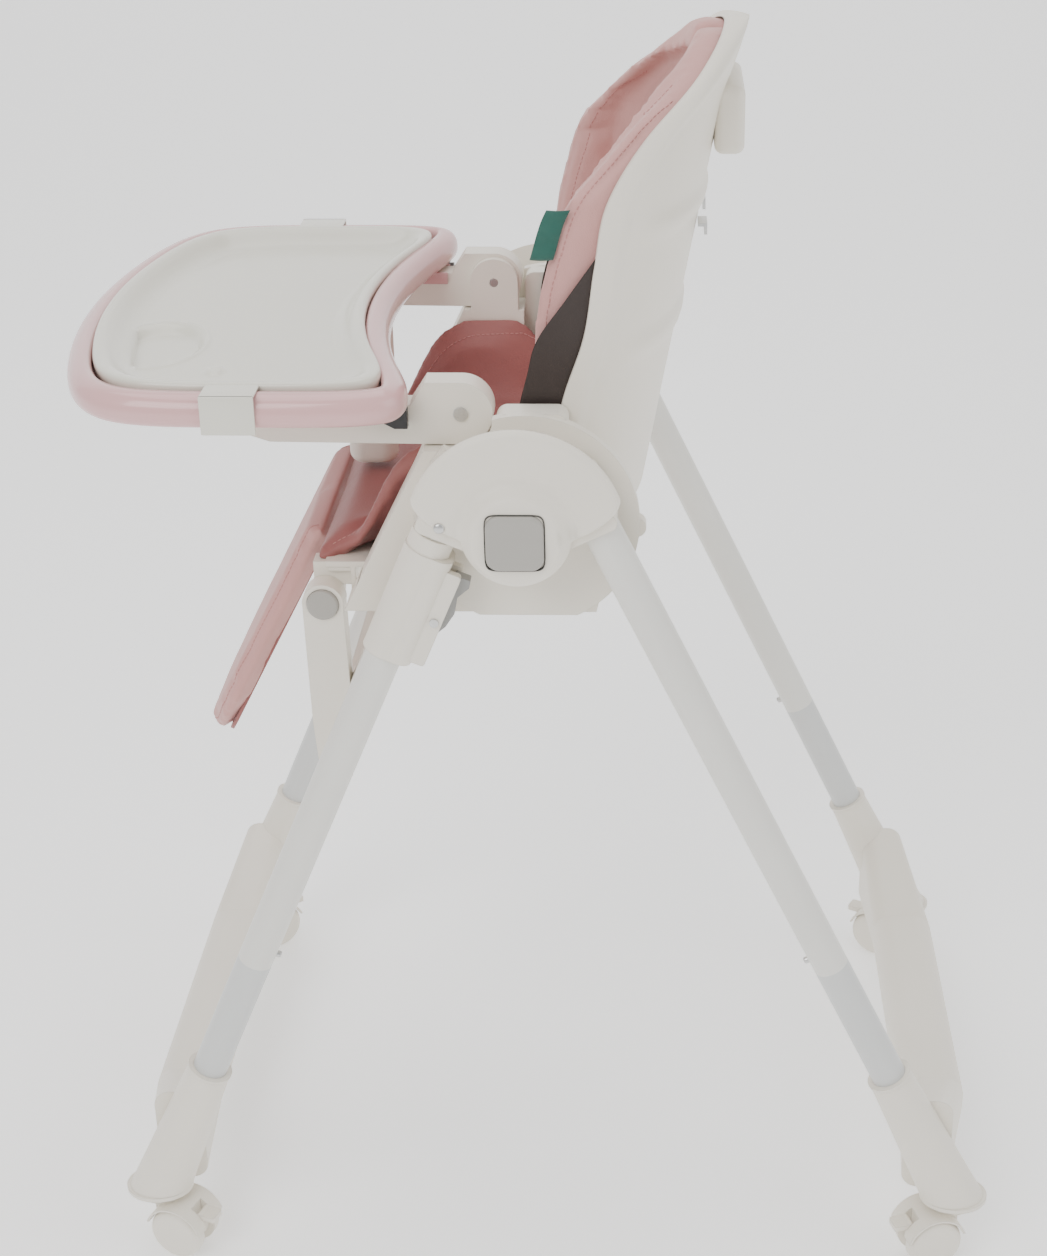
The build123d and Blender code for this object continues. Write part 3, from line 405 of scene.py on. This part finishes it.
def inflate(made, voxel, cap, pressure=4.0, frames=20):
    """Blows a cushion up as cloth filled with air, moves no point further than cap, then smooths it."""
    remesh = made.modifiers.new("even", "REMESH")
    remesh.mode = "VOXEL"
    remesh.voxel_size = voxel
    apply_modifiers(made)
    start = corners(made)
    cloth = made.modifiers.new("cloth", "CLOTH")
    cloth.settings.use_pressure = True
    cloth.settings.uniform_pressure_force = pressure
    cloth.settings.effector_weights.gravity = 0.0
    cloth.settings.quality = 5
    cloth.point_cache.frame_end = frames
    for frame_number in range(1, frames + 1):
        bpy.context.scene.frame_set(frame_number)
    apply_modifiers(made)
    bpy.context.scene.frame_set(1)
    moved = corners(made) - start
    length = np.linalg.norm(moved, axis=1, keepdims=True)
    place_corners(made, start + moved * np.minimum(1.0, cap / np.maximum(length, 1e-9)))
    finer = made.modifiers.new("finer", "SUBSURF")
    finer.levels = 1
    finer.render_levels = 1
    apply_modifiers(made)
    made.data.polygons.foreach_set("use_smooth", np.full(len(made.data.polygons), True))


def apply_modifiers(made):
    """Bakes the modifiers into the mesh."""
    graph = bpy.context.evaluated_depsgraph_get()
    baked = bpy.data.meshes.new_from_object(made.evaluated_get(graph))
    made.modifiers.clear()
    made.data = baked


def corners(made):
    points = np.empty(len(made.data.vertices) * 3)
    made.data.vertices.foreach_get("co", points)
    return points.reshape(-1, 3)


def place_corners(made, points):
    made.data.vertices.foreach_set("co", points.reshape(-1))
    made.data.update()


def surface_of(*pieces):
    """A search tree over the finished surface of some pieces."""
    points, faces, base = [], [], 0
    for made in pieces:
        points.extend(corners(made).tolist())
        faces.extend([[vertex + base for vertex in polygon.vertices] for polygon in made.data.polygons])
        base = len(points)
    return BVHTree.FromPolygons(points, faces)


def evenly(path, pitch):
    """Points a pitch apart along a path of points."""
    step = np.linalg.norm(np.diff(path, axis=0), axis=1)
    run = np.concatenate([[0.0], np.cumsum(step)])
    at = np.arange(0.0, run[-1], pitch)
    return np.stack([np.interp(at, run, path[:, axis]) for axis in range(3)], axis=-1)


def seated(path, tree, lift):
    """A path dropped on a surface and lifted off it, with the surface's directions there."""
    points, normals = [], []
    for point in path:
        near, normal, _, _ = tree.find_nearest(Vector(point))
        points.append(near + normal * lift)
        normals.append(normal)
    return np.array(points), np.array(normals)


def stitches(name, path, tree, material, pitch=0.0046, length=0.0034, radius=0.00042):
    """A row of thread stitches on a surface: each a capsule of three rings along the path."""
    points, normals = seated(evenly(path, pitch), tree, radius * 0.35)
    along = np.gradient(points, axis=0)
    along /= np.linalg.norm(along, axis=1, keepdims=True)
    beside = np.cross(along, normals)
    beside /= np.linalg.norm(beside, axis=1, keepdims=True)
    up_from = np.cross(beside, along)
    stations = np.array([(-0.5, 0.35), (-0.32, 1.0), (0.32, 1.0), (0.5, 0.35)])
    turn = np.arange(6) * math.pi / 3
    ring = (np.cos(turn)[:, None, None] * beside + np.sin(turn)[:, None, None] * up_from) * radius
    rings = [points + along * length * at + ring * wide for at, wide in stations]
    grid = np.stack(rings).transpose(2, 0, 1, 3)
    count = len(points)
    one = [tuple(face) for face in grid_faces(4, 6, wrap=True)] + [tuple(range(6)), tuple(range(23, 17, -1))]
    faces = [tuple(vertex + 24 * index for vertex in face) for index in range(count) for face in one]
    return piece(name, grid.reshape(-1, 3), faces, material, merge=0.0)


def groove(made, path, width, depth):
    """Presses a sewn channel into a cushion: points near the path sink along their normals."""
    points = corners(made)
    path = evenly(path, width * 0.6)
    normals = np.empty(len(points) * 3)
    made.data.vertices.foreach_get("normal", normals)
    nearest = np.full(len(points), 1.0)
    for start in range(0, len(path), 40):
        chunk = path[start:start + 40]
        gap = np.linalg.norm(points[:, None, :] - chunk[None, :, :], axis=2).min(axis=1)
        nearest = np.minimum(nearest, gap)
    press = depth * np.exp(-((nearest / width) ** 2))
    place_corners(made, points - normals.reshape(-1, 3) * press[:, None])


thread = plastic("rose_thread", (0.50, 0.23, 0.215), 0.6, softened=0.0)


# ---- Back cushion ---------------------------------------------------------------------
# A tall cushion that lines the shell and stands forward at each side as a padded wing.
# A sewn seam runs round the wing, a finger's width from its edge.
PAD_LOW, PAD_TOP = 0.700, 1.0445
PAD_SKIN, PAD_THICK = 0.0085, 0.019


def wing_y(z):
    """Y of the wing's front edge: upright, then sweeping back to the top."""
    stops = [(0.700, -0.020), (0.745, -0.020), (0.772, -0.019), (0.818, -0.0125), (0.858, -0.008),
             (0.897, 0.002), (0.936, 0.017), (0.968, 0.046), (0.997, 0.075), (1.020, 0.106), (1.0445, 0.122)]
    return through(stops, z)


def pad_face(inset, top, edge):
    """One face of the back cushion: inset from the shell's outside, its front edge moved back by edge."""
    z = PAD_LOW + edge * 0.5 + (top - PAD_LOW - edge * 0.5) * up
    half = np.maximum(arch(z, SHELL_HALF, top + 0.001) - inset, 0.0)
    wing = wing_y(np.minimum(z, PAD_TOP)) + edge
    front = np.maximum(rim_y(z), wing + 0.002)
    depth = np.maximum(rear_y(z) - front - inset, 0.003)
    return back_section(z, half, front, depth, wing, across)


back_pad = closed_sheet("back_cushion", pad_face(PAD_SKIN, PAD_TOP, 0.004),
                        pad_face(PAD_SKIN + PAD_THICK, PAD_TOP - PAD_THICK, 0.008), rose_leather)
inflate(back_pad, 0.005, 0.006)
seam_z = np.linspace(0.735, 1.006, 120)
for side in (-1, 1):
    seam_half = arch(seam_z, SHELL_HALF, PAD_TOP) - PAD_SKIN
    seam = np.stack([side * seam_half, wing_y(seam_z) + 0.022, seam_z], axis=-1)
    groove(back_pad, seam, 0.0024, 0.0016)
    inner_seam = seam - np.array([side * (PAD_THICK + 0.004), 0.0, 0.0])
    groove(back_pad, inner_seam, 0.0024, 0.0016)
back_tree = surface_of(back_pad)
for side, hand in ((1, "right"), (-1, "left")):
    for label, inset, offset in (("outer", 0.0, 0.019), ("inner", PAD_THICK + 0.006, 0.022)):
        seam_half = arch(seam_z, SHELL_HALF, PAD_TOP) - PAD_SKIN - inset
        seam = np.stack([side * seam_half, wing_y(seam_z) + offset, seam_z], axis=-1)
        row = stitches("back_stitches_%s_%s" % (label, hand), seam, back_tree, thread)
        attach(row, "back")
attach(back_pad, "back")
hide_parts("back_pad")


# ---- Woven tag ---------------------------------------------------------------------------
# A small plain green label, folded and sewn into the outer seam of one wing.
def label_tag():
    """A folded strip: rows across the fold, columns down it, following the wing's side."""
    down = np.linspace(0.895, 0.932, 14)
    out = np.linspace(0.0, 1.0, 9)
    z, share = np.meshgrid(down, out, indexing="ij")
    y = wing_y(z) - 0.004 + 0.018 * share
    half = arch(z, SHELL_HALF, PAD_TOP) - PAD_SKIN
    x = half + 0.0042 + 0.0022 * np.sin(share * math.pi) + 0.0006 * np.sin(z * 400.0)
    face = np.stack([x, y, z], axis=-1)
    return face, face + np.array([0.0009, 0.0, 0.0])


def woven_green():
    finish = Finish("green_tag", Sheen_Weight=0.2, Sheen_Roughness=0.5)
    sockets = {"Vector": finish.place, "Scale": 420.0}
    weave = finish.node("ShaderNodeTexWave", {"bands_direction": "Z"}, sockets, "Fac")
    finish.feed("Base Color", finish.mix(weave, (0.006, 0.075, 0.055, 1), (0.012, 0.115, 0.085, 1)))
    finish.feed("Roughness", weave * 0.1 + 0.62)
    finish.relief(weave, 0.0002)
    return finish.material


tag_outer, tag_inner = label_tag()
tag = closed_sheet("side_tag", tag_outer, tag_inner, woven_green())
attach(tag, "back")


# ---- Seat cushion ---------------------------------------------------------------------------
# One padded piece over the seat floor that turns up at each side as a wing and rolls over the front lip.
SEAT_HALF = 0.1545
SEAT_FLOOR = 0.6525


def seat_middle(rows=70, columns=81):
    """Middle surface of the seat cushion: level across the floor, then turning up to the wings' top line.
    Height is the floor's plus the wing's rise times (1 - cosine) to a power."""
    y = np.linspace(-0.186, 0.008, rows)[:, None]
    turn = np.linspace(-1, 1, columns)[None, :] * (math.pi / 2)
    top = through([(-0.186, 0.637), (-0.164, 0.6515), (-0.150, 0.668), (-0.139, 0.688), (-0.128, 0.708),
                   (-0.113, 0.730), (-0.092, 0.745), (-0.060, 0.749), (-0.030, 0.746), (0.008, 0.700)], y)
    floor = SEAT_FLOOR - 0.016 * (1 - eased(-0.186, -0.158, y))
    x = SEAT_HALF * np.sign(turn) * np.abs(np.sin(turn)) ** 0.75
    z = floor + np.maximum(top - floor, 0.0) * (1 - np.cos(turn)) ** 2.1
    return np.stack([x + 0 * y, y + 0 * x, z], axis=-1)


def pillow(name, middle, thickness, edge, material):
    """A cushion round a middle surface: each side stands off along the normal by half the thickness,
    and the sides meet at the border, where thickness falls off as a quarter circle."""
    along, over = np.gradient(middle, axis=0), np.gradient(middle, axis=1)
    normal = np.cross(along, over)
    normal /= np.linalg.norm(normal, axis=-1, keepdims=True)
    run = np.cumsum(np.linalg.norm(over, axis=-1), axis=1)
    climb = np.cumsum(np.linalg.norm(along, axis=-1), axis=0)
    gap = np.minimum(np.minimum(run - run[:, :1], run[:, -1:] - run),
                     np.minimum(climb - climb[:1], climb[-1:] - climb))
    share = np.clip(gap / edge, 0.0, 1.0)
    stand = normal * (thickness / 2 * (0.25 + 0.75 * np.sqrt(1 - (1 - share) ** 2)))[..., None]
    return closed_sheet(name, middle + stand, middle - stand, material)


# The seat cushion takes the darker copy of the rose leather, which paints the shadow under the tray into its
# colour.
seat_cushion = pillow("seat_cushion", seat_middle(), 0.013, 0.010, painted_shade_leather)
inflate(seat_cushion, 0.0045, 0.005)
seat_tree = surface_of(seat_cushion)
for side, hand in ((1, "right"), (-1, "left")):
    line_y = np.linspace(-0.176, -0.012, 90)
    line_z = through([(-0.176, 0.650), (-0.150, 0.668), (-0.128, 0.700), (-0.113, 0.720), (-0.092, 0.734),
                      (-0.060, 0.738), (-0.012, 0.735)], line_y)
    line = np.stack([np.full_like(line_y, side * (SEAT_HALF - 0.010)), line_y + 0.008, line_z], axis=-1)
    row = stitches("seat_stitches_" + hand, line, seat_tree, thread)
    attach(row, "seat")
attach(seat_cushion, "seat")
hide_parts("seat_pad")


# ---- Calf cushion -----------------------------------------------------------------------------
# A flat padded tongue with a rounded tip that hangs from the seat's front edge and lies on a stiff board.
CALF_TOP = np.array([0.0, -0.1845, 0.650])
CALF_TIP = np.array([0.0, -0.305, 0.422])
CALF_HALF = 0.105


def calf_middle(rows=90, columns=61):
    """Middle surface of the tongue: width is full, then follows a quarter of a rounded square to the tip."""
    down = np.linspace(0.0, 1.0, rows) ** 0.85
    length = np.linalg.norm(CALF_TIP - CALF_TOP)
    left = (1 - down) * length
    round_off = 0.085
    share = np.clip(1 - left / round_off, 0.0, 1.0)
    half = CALF_HALF * (1 - share**2.6) ** (1 / 2.2)
    half[-1] = CALF_HALF * 0.30
    middle = CALF_TOP + (CALF_TIP - CALF_TOP) * down[:, None]
    over = np.linspace(-1, 1, columns)
    points = np.repeat(middle[:, None, :], columns, axis=1)
    points[..., 0] = half[:, None] * over[None, :]
    return points


calf_cushion = pillow("calf_cushion", calf_middle(), 0.0125, 0.012, rose_leather)
inflate(calf_cushion, 0.0045, 0.005)


def calf_edge_line(inset):
    """A line round the tongue, a fixed distance in from its edge, on its front face."""
    grid = calf_middle()
    run = (CALF_TIP - CALF_TOP) / np.linalg.norm(CALF_TIP - CALF_TOP)
    half = grid[:, -1, 0] - inset
    keep = (half > 0.004) & (np.linalg.norm(grid[:, 0] - grid[-1, 0], axis=1) > inset)
    right = np.stack([half[keep], grid[keep, 0, 1], grid[keep, 0, 2]], axis=-1)
    left = right * np.array([-1, 1, 1])
    front = np.cross(run, (1, 0, 0))
    front = front / np.linalg.norm(front) * 0.01
    return np.concatenate([right, left[::-1]]) + (front if front[1] < 0 else -front)


calf_line = calf_edge_line(0.011)
groove(calf_cushion, calf_line, 0.0022, 0.0012)
row = stitches("calf_stitches", calf_line, surface_of(calf_cushion), thread)
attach(row, "calf_rest")
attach(calf_cushion, "calf_rest")
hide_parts("calf_pad")


# ---- Tray ------------------------------------------------------------------------------------------
# The tray's body is a glossy pink moulding, hollow at the rear to clear the child.
# A white gloss insert drops into it: a raised rim, a dished floor and an oval cup recess.
TRAY_NOSE, NOTCH, TRAY_HALF = -0.3891, -0.131, 0.252
TRAY_LOW, TRAY_HIGH = 0.787, 0.813
TRAY_MIDDLE = np.array([0.0, -0.262])
RIM, RIM_SIDE = 0.0195, 0.024


def tray_plan(half, nose, notch, window, count=480):
    """Outline of the tray in plan: bowed nose, straight sides and hollow rear, its corners rounded by
    averaging each point with its neighbours over a window of arc length."""
    front, rear = nose + 0.19 * half, notch + 0.23 * half
    bow = np.linspace(-1, 1, 200)
    nose_line = np.stack([half * bow, nose + (front - nose) * bow**2], axis=-1)
    side = np.linspace(front, rear, 120)
    right = np.stack([np.full(120, half), side], axis=-1)
    notch_line = np.stack([-half * bow, notch + (rear - notch) * bow**2], axis=-1)
    left = np.stack([np.full(120, -half), side[::-1]], axis=-1)
    outline = np.concatenate([nose_line, right[1:], notch_line[1:], left[1:-1]])
    closed = np.concatenate([outline, outline[:1]])
    run = np.concatenate([[0.0], np.cumsum(np.linalg.norm(np.diff(closed, axis=0), axis=1))])
    at = np.linspace(0, run[-1], count, endpoint=False)
    even = np.stack([np.interp(at, run, closed[:, axis]) for axis in range(2)], axis=-1)
    reach = max(1, int(window / run[-1] * count / 2))
    for _ in range(2):
        even = sum(np.roll(even, shift, axis=0) for shift in range(-reach, reach + 1)) / (2 * reach + 1)
    return even


def outward(plan):
    """Unit normals of a closed outline that runs anticlockwise."""
    along = np.roll(plan, -1, axis=0) - np.roll(plan, 1, axis=0)
    normal = np.stack([along[:, 1], -along[:, 0]], axis=-1)
    return normal / np.linalg.norm(normal, axis=1, keepdims=True)


def carried(plan, profile):
    """A profile of (inset, height) pairs carried round an outline: one row of points for each pair."""
    normal = outward(plan)
    rows = [np.column_stack([plan - normal * inset, np.full(len(plan), height)]) for inset, height in profile]
    return np.stack(rows)


def nested(sizes, profile):
    """Rows for (inset, height) pairs, each on its own outline drawn smaller by the inset."""
    half, nose, notch, window = sizes
    rows = []
    for inset, height in profile:
        smaller = tray_plan(half - inset, nose + inset, notch - inset, window)
        rows.append(np.column_stack([smaller, np.full(len(smaller), height)]))
    return np.stack(rows)


def quarter(inset, height, radius, start, stop, count=7):
    """Points on an arc about (inset, height), angles in degrees from the outward direction."""
    turn = np.radians(np.linspace(start, stop, count))
    return [(inset - radius * math.cos(t), height + radius * math.sin(t)) for t in turn]


def shrunk(row, count, stop=0.0):
    """Rows that close an outline in towards the tray's middle."""
    share = np.linspace(1, stop, count + 1)[1:, None, None]
    middle = np.append(TRAY_MIDDLE, 0.0)
    flat = row * np.array([1, 1, 0])
    rows = middle + (flat - middle) * share
    rows[..., 2] = row[:, 2].mean()
    return rows


def gloss(name, colour, roughness):
    """Polished moulding: almost smooth, with a very slow ripple."""
    finish = Finish(name, Coat_Weight=0.35, Coat_Roughness=0.08, Specular_IOR_Level=0.5)
    finish.feed("Base Color", finish.mix(finish.noise(6.0), shade(colour, 0.97), shade(colour, 1.02)))
    finish.feed("Roughness", finish.noise(50.0) * 0.06 + roughness)
    finish.relief(finish.noise(35.0), 0.00012)
    return finish.material


pink_gloss = gloss("pink_gloss", (0.66, 0.385, 0.385), 0.16)
white_gloss = gloss("white_gloss", (0.70, 0.685, 0.60), 0.20)
plan = tray_plan(TRAY_HALF, TRAY_NOSE, NOTCH, 0.115)
body_profile = ([(0.030, TRAY_LOW)] + quarter(0.010, TRAY_LOW + 0.010, 0.010, -90, 0)
                + quarter(0.013, TRAY_HIGH - 0.013, 0.013, 0, 90)
                + [(0.017, TRAY_HIGH), (0.0195, TRAY_HIGH - 0.003)])
body = carried(plan, body_profile)
under = shrunk(body[0], 6)[::-1]
pocket = carried(plan, [(0.020, TRAY_HIGH - 0.008), (0.021, TRAY_LOW + 0.004)])
closing = shrunk(pocket[-1], 6)
rows = np.concatenate([under, body, pocket, closing])
tray_body = piece("tray_body", rows, grid_faces(len(rows), len(plan), wrap=True), pink_gloss, merge=0.00005)
GUIDE_THICK, GUIDE_FRONT, GUIDE_REAR, GUIDE_LOW, GUIDE_HIGH = 0.0024, -0.240, -0.100, 0.777, 0.788
guides = [box_piece("tray_guide_%d" % index, (x, GUIDE_FRONT, GUIDE_LOW),
                    (x + GUIDE_THICK, GUIDE_REAR, GUIDE_HIGH), pink_gloss, 0.0008, 2)
          for index, x in enumerate((0.1658, 0.1933, -0.1682, -0.1957))]
for made in [tray_body] + guides:
    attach(made, "tray")
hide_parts("tray_frame")

CUP = np.array([0.092, -0.311])
CUP_REACH = np.array([0.055, 0.037])
FLOOR = 0.8022
INSERT_SIZES = (TRAY_HALF - RIM_SIDE, TRAY_NOSE + RIM, NOTCH - RIM, 0.095)
insert_profile = ([(0.006, TRAY_HIGH - 0.010), (0.0008, TRAY_HIGH - 0.009), (0.0003, TRAY_HIGH - 0.001)]
                  + quarter(0.004, TRAY_HIGH - 0.0002, 0.0035, 10, 90, 5)
                  + [(0.007, TRAY_HIGH + 0.0030), (0.010, TRAY_HIGH + 0.0018), (0.014, TRAY_HIGH - 0.0025),
                     (0.018, TRAY_HIGH - 0.0068), (0.023, TRAY_HIGH - 0.0095), (0.029, FLOOR)])
rim_rows = nested(INSERT_SIZES, insert_profile)
floor_rows = shrunk(rim_rows[-1], 110)
out = np.linalg.norm((floor_rows[..., :2] - CUP) / CUP_REACH, axis=-1)
floor_rows[..., 2] += -0.0065 * (1 - eased(0.80, 1.02, out)) + 0.0012 * np.exp(-(((out - 1.08) / 0.05) ** 2))
thumb = np.linalg.norm((floor_rows[..., :2] - np.array([0.158, -0.252])) / np.array([0.014, 0.009]), axis=-1)
floor_rows[..., 2] += 0.0022 * (1 - eased(0.5, 1.0, thumb))
top = np.concatenate([rim_rows, floor_rows])
below = top[::-1].copy()
below[..., 2] -= 0.0022
skirt = nested(INSERT_SIZES, [(0.0295, FLOOR - 0.004), (0.008, TRAY_HIGH - 0.011)])
insert_rows = np.concatenate([top, below[:len(floor_rows)], skirt, rim_rows[:1]])
tray_top = piece("tray_insert_moulding", insert_rows, grid_faces(len(insert_rows), len(plan), wrap=True),
                 white_gloss, merge=0.00002)
pieces_of_insert = [tray_top]
TAB_FRONT, TAB_REAR, TAB_LOW, TAB_TOP = -0.245, -0.204, 0.785, 0.8152
for side, hand in ((1, "right"), (-1, "left")):
    edge = side * (TRAY_HALF + 0.0006)
    low_x, high_x = sorted((edge - side * 0.034, edge + side * 0.0025))
    cap = box_piece("tray_tab_top_" + hand, (low_x, TAB_FRONT, TRAY_HIGH + 0.0003),
                    (high_x, TAB_REAR, TAB_TOP), white_gloss, 0.0007)
    low_x, high_x = sorted((edge, edge + side * 0.0028))
    drop = box_piece("tray_tab_" + hand, (low_x, TAB_FRONT, TAB_LOW), (high_x, TAB_REAR, TAB_TOP),
                     white_gloss, 0.0007)
    pieces_of_insert += [cap, drop]
for made in pieces_of_insert:
    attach(made, "tray_insert")
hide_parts("tray_insert")


# ---- Hub covers -----------------------------------------------------------------------------------------
# Each hub is closed by a crowned cover: an arched top with an ear over each leg screw, drawn in to a
# round boss that surrounds the square fold button.
HUB = np.array([-0.012, 0.707])
HUB_FACE = 0.2570


def hub_dome(side, rings=46, spokes=180):
    """Cover in polar form: edge radius eases from the neck's to the arch's with the sine of the angle;
    height is a plate, a slight dome and a boss round the button."""
    turn = np.linspace(0, 2 * math.pi, spokes, endpoint=False)
    edge = 0.0425 + 0.0415 * eased(-0.16, 0.36, np.sin(turn))
    rim = 1 - 0.07 * (1 - np.sin(np.linspace(0.1, 1, 7) * math.pi / 2))
    share = np.concatenate([np.linspace(0.0, 0.93, rings - 7), rim])
    radius = share[:, None] * edge[None, :]
    y, z = radius * np.cos(turn), radius * np.sin(turn)
    fall = np.sqrt(np.clip(1 - ((share - 0.93) / 0.07).clip(0, 1) ** 2, 0, 1))[:, None]
    boss = 0.0085 * (1 - eased(0.0325, 0.0425, radius))
    bowl = -0.0012 * np.exp(-(((radius - 0.0455) / 0.003) ** 2))
    height = (0.0052 + 0.0038 * (1 - share[:, None] ** 2) + boss + bowl) * fall
    front = np.stack([side * (HUB_FACE + height), HUB[0] + y, HUB[1] + z], axis=-1)
    back = front[::-1].copy()
    back[..., 0] = side * HUB_FACE
    return np.concatenate([front, back])


def square_ring(name, side, size, corner, low, high, width, material):
    """A thin rounded-square ring round the button, standing between two planes."""
    turn = np.linspace(0, 2 * math.pi, 96, endpoint=False)
    power = 2 / 7.0
    square = np.stack([np.sign(np.cos(turn)) * np.abs(np.cos(turn)) ** power,
                       np.sign(np.sin(turn)) * np.abs(np.sin(turn)) ** power], axis=-1)
    rows = []
    for half, at in ((size, low), (size, high), (size + width, high), (size + width, low), (size, low)):
        ring = HUB + square * half
        rows.append(np.column_stack([np.full(96, side * at), ring]))
    return piece(name, np.stack(rows), grid_faces(5, 96, wrap=True), material)


def ear_screw(side):
    """Domed head of the screw through a cover's front ear: rings from its seat to its middle."""
    turn = np.linspace(0, 2 * math.pi, 32, endpoint=False)
    rows = []
    head = ((0.0, 0.0), (0.0042, 0.0), (0.0042, 0.0011), (0.0036, 0.0019), (0.0020, 0.0024), (0.0, 0.0025))
    for radius, stand in head:
        ring = EAR_SCREW + radius * np.stack([np.cos(turn), np.sin(turn)], axis=-1)
        rows.append(np.column_stack([np.full(32, side * (EAR_FACE + stand)), ring]))
    return piece("ear_screw", np.stack(rows), grid_faces(6, 32, wrap=True), steel)


EAR_FACE, EAR_SCREW = 0.2632, np.array([-0.0695, 0.7143])
for side in (1, -1):
    made = ear_screw(side)
    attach(made, "front_legs")
# A thin near-black ring round each fold button is painted shade: it stands for the shadow in the gap between
# the button and the cover.
gap_painted_shade = plastic("gap_shadow", (0.05, 0.047, 0.042), 0.6, softened=0.0)
for side, hand in ((1, "right"), (-1, "left")):
    rows = hub_dome(side)
    cover = piece("hub_cover_moulding_" + hand, rows, grid_faces(len(rows), 180, wrap=True), ivory)
    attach(cover, "front_legs")
    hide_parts("hub_cover_" + hand)
    # The dark ring paints the shade in the gap round the button.
    ring = square_ring("button_gap_" + hand, side, 0.0222, 0.010, 0.2680, 0.27495, 0.0008, gap_painted_shade)
    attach(ring, "front_legs")


# ---- Floor, light and camera ----------------------------------------------------------------------------
# A pale paper sweep, three large soft lamps and a camera on the chair's right side, above the tray.
def seamless_floor():
    """Paper sweep: level under the chair, then a quarter circle up to a plain wall behind it."""
    finish = Finish("pale_sweep", Roughness=0.9, Specular_IOR_Level=0.1, Emission_Strength=0.42)
    finish.feed("Base Color", finish.mix(finish.noise(1.5), (0.90, 0.90, 0.90, 1), (0.93, 0.93, 0.93, 1)))
    finish.shader.inputs["Emission Color"].default_value = (1.0, 1.0, 1.0, 1.0)
    turn = np.linspace(0, math.pi / 2, 24)
    x = np.concatenate([[5.0, 0.0], -2.2 - 1.6 * np.sin(turn), [-3.8]])
    z = np.concatenate([[0.0, 0.0], 1.6 * (1 - np.cos(turn)), [6.0]])
    y = np.array([-6.0, 0.0, 6.0])
    points = np.stack([x[:, None] + 0 * y, y + 0 * x[:, None], z[:, None] + 0 * y], axis=-1)
    made = piece("studio_sweep", points, grid_faces(len(x), len(y)), finish.material)


seamless_floor()
world = bpy.data.worlds.new("studio")
bpy.context.scene.world = world
world.use_nodes = True
world.node_tree.nodes["Background"].inputs["Color"].default_value = (1.0, 0.995, 0.985, 1)
world.node_tree.nodes["Background"].inputs["Strength"].default_value = 0.80


def lamp(name, place, target, size, power):
    """A soft square lamp aimed at a point."""
    light = bpy.data.lights.new(name, "AREA")
    light.size = size
    light.energy = power
    made = bpy.data.objects.new(name, light)
    bpy.context.scene.collection.objects.link(made)
    place, target = Vector(place), Vector(target)
    turned = (target - place).to_track_quat("-Z", "Y").to_matrix().to_4x4()
    made.matrix_world = Matrix.Translation(place) @ turned


CENTRE = (0.0, 0.0, 0.6)
lamp("key", (2.6, -1.6, 3.0), CENTRE, 2.2, 72)
lamp("fill", (1.2, 3.0, 2.0), CENTRE, 2.5, 32)
lamp("top", (-0.6, -0.4, 3.6), CENTRE, 2.5, 42)

EYE = np.array([1.73087609, 0.09695703, 1.33457592])
YAW, PITCH, ROLL = np.radians([2.17460722, 25.59625257, -0.65667603])
FOCUS, WIDE, HIGH = 2122.60583919, 1047.0, 1256.0
AIM_X, AIM_Y = 587.23681701, 628.92753285
ahead = np.array([-math.cos(PITCH) * math.cos(YAW), -math.cos(PITCH) * math.sin(YAW), -math.sin(PITCH)])
level = np.cross(ahead, (0, 0, 1))
level /= np.linalg.norm(level)
upright = np.cross(level, ahead)
right = math.cos(ROLL) * level + math.sin(ROLL) * upright
above = -math.sin(ROLL) * level + math.cos(ROLL) * upright
camera = bpy.data.cameras.new("camera")
camera.sensor_fit = "VERTICAL"
camera.sensor_height = 36.0
camera.lens = FOCUS * camera.sensor_height / HIGH
camera.shift_x = (WIDE / 2 - AIM_X) / HIGH
camera.shift_y = (AIM_Y - HIGH / 2) / HIGH
viewer = bpy.data.objects.new("camera", camera)
bpy.context.scene.collection.objects.link(viewer)
axes = np.stack([right, above, -ahead], axis=-1)
viewer.matrix_world = Matrix([[*row, place] for row, place in zip(axes, EYE)] + [[0, 0, 0, 1]])
bpy.context.scene.camera = viewer
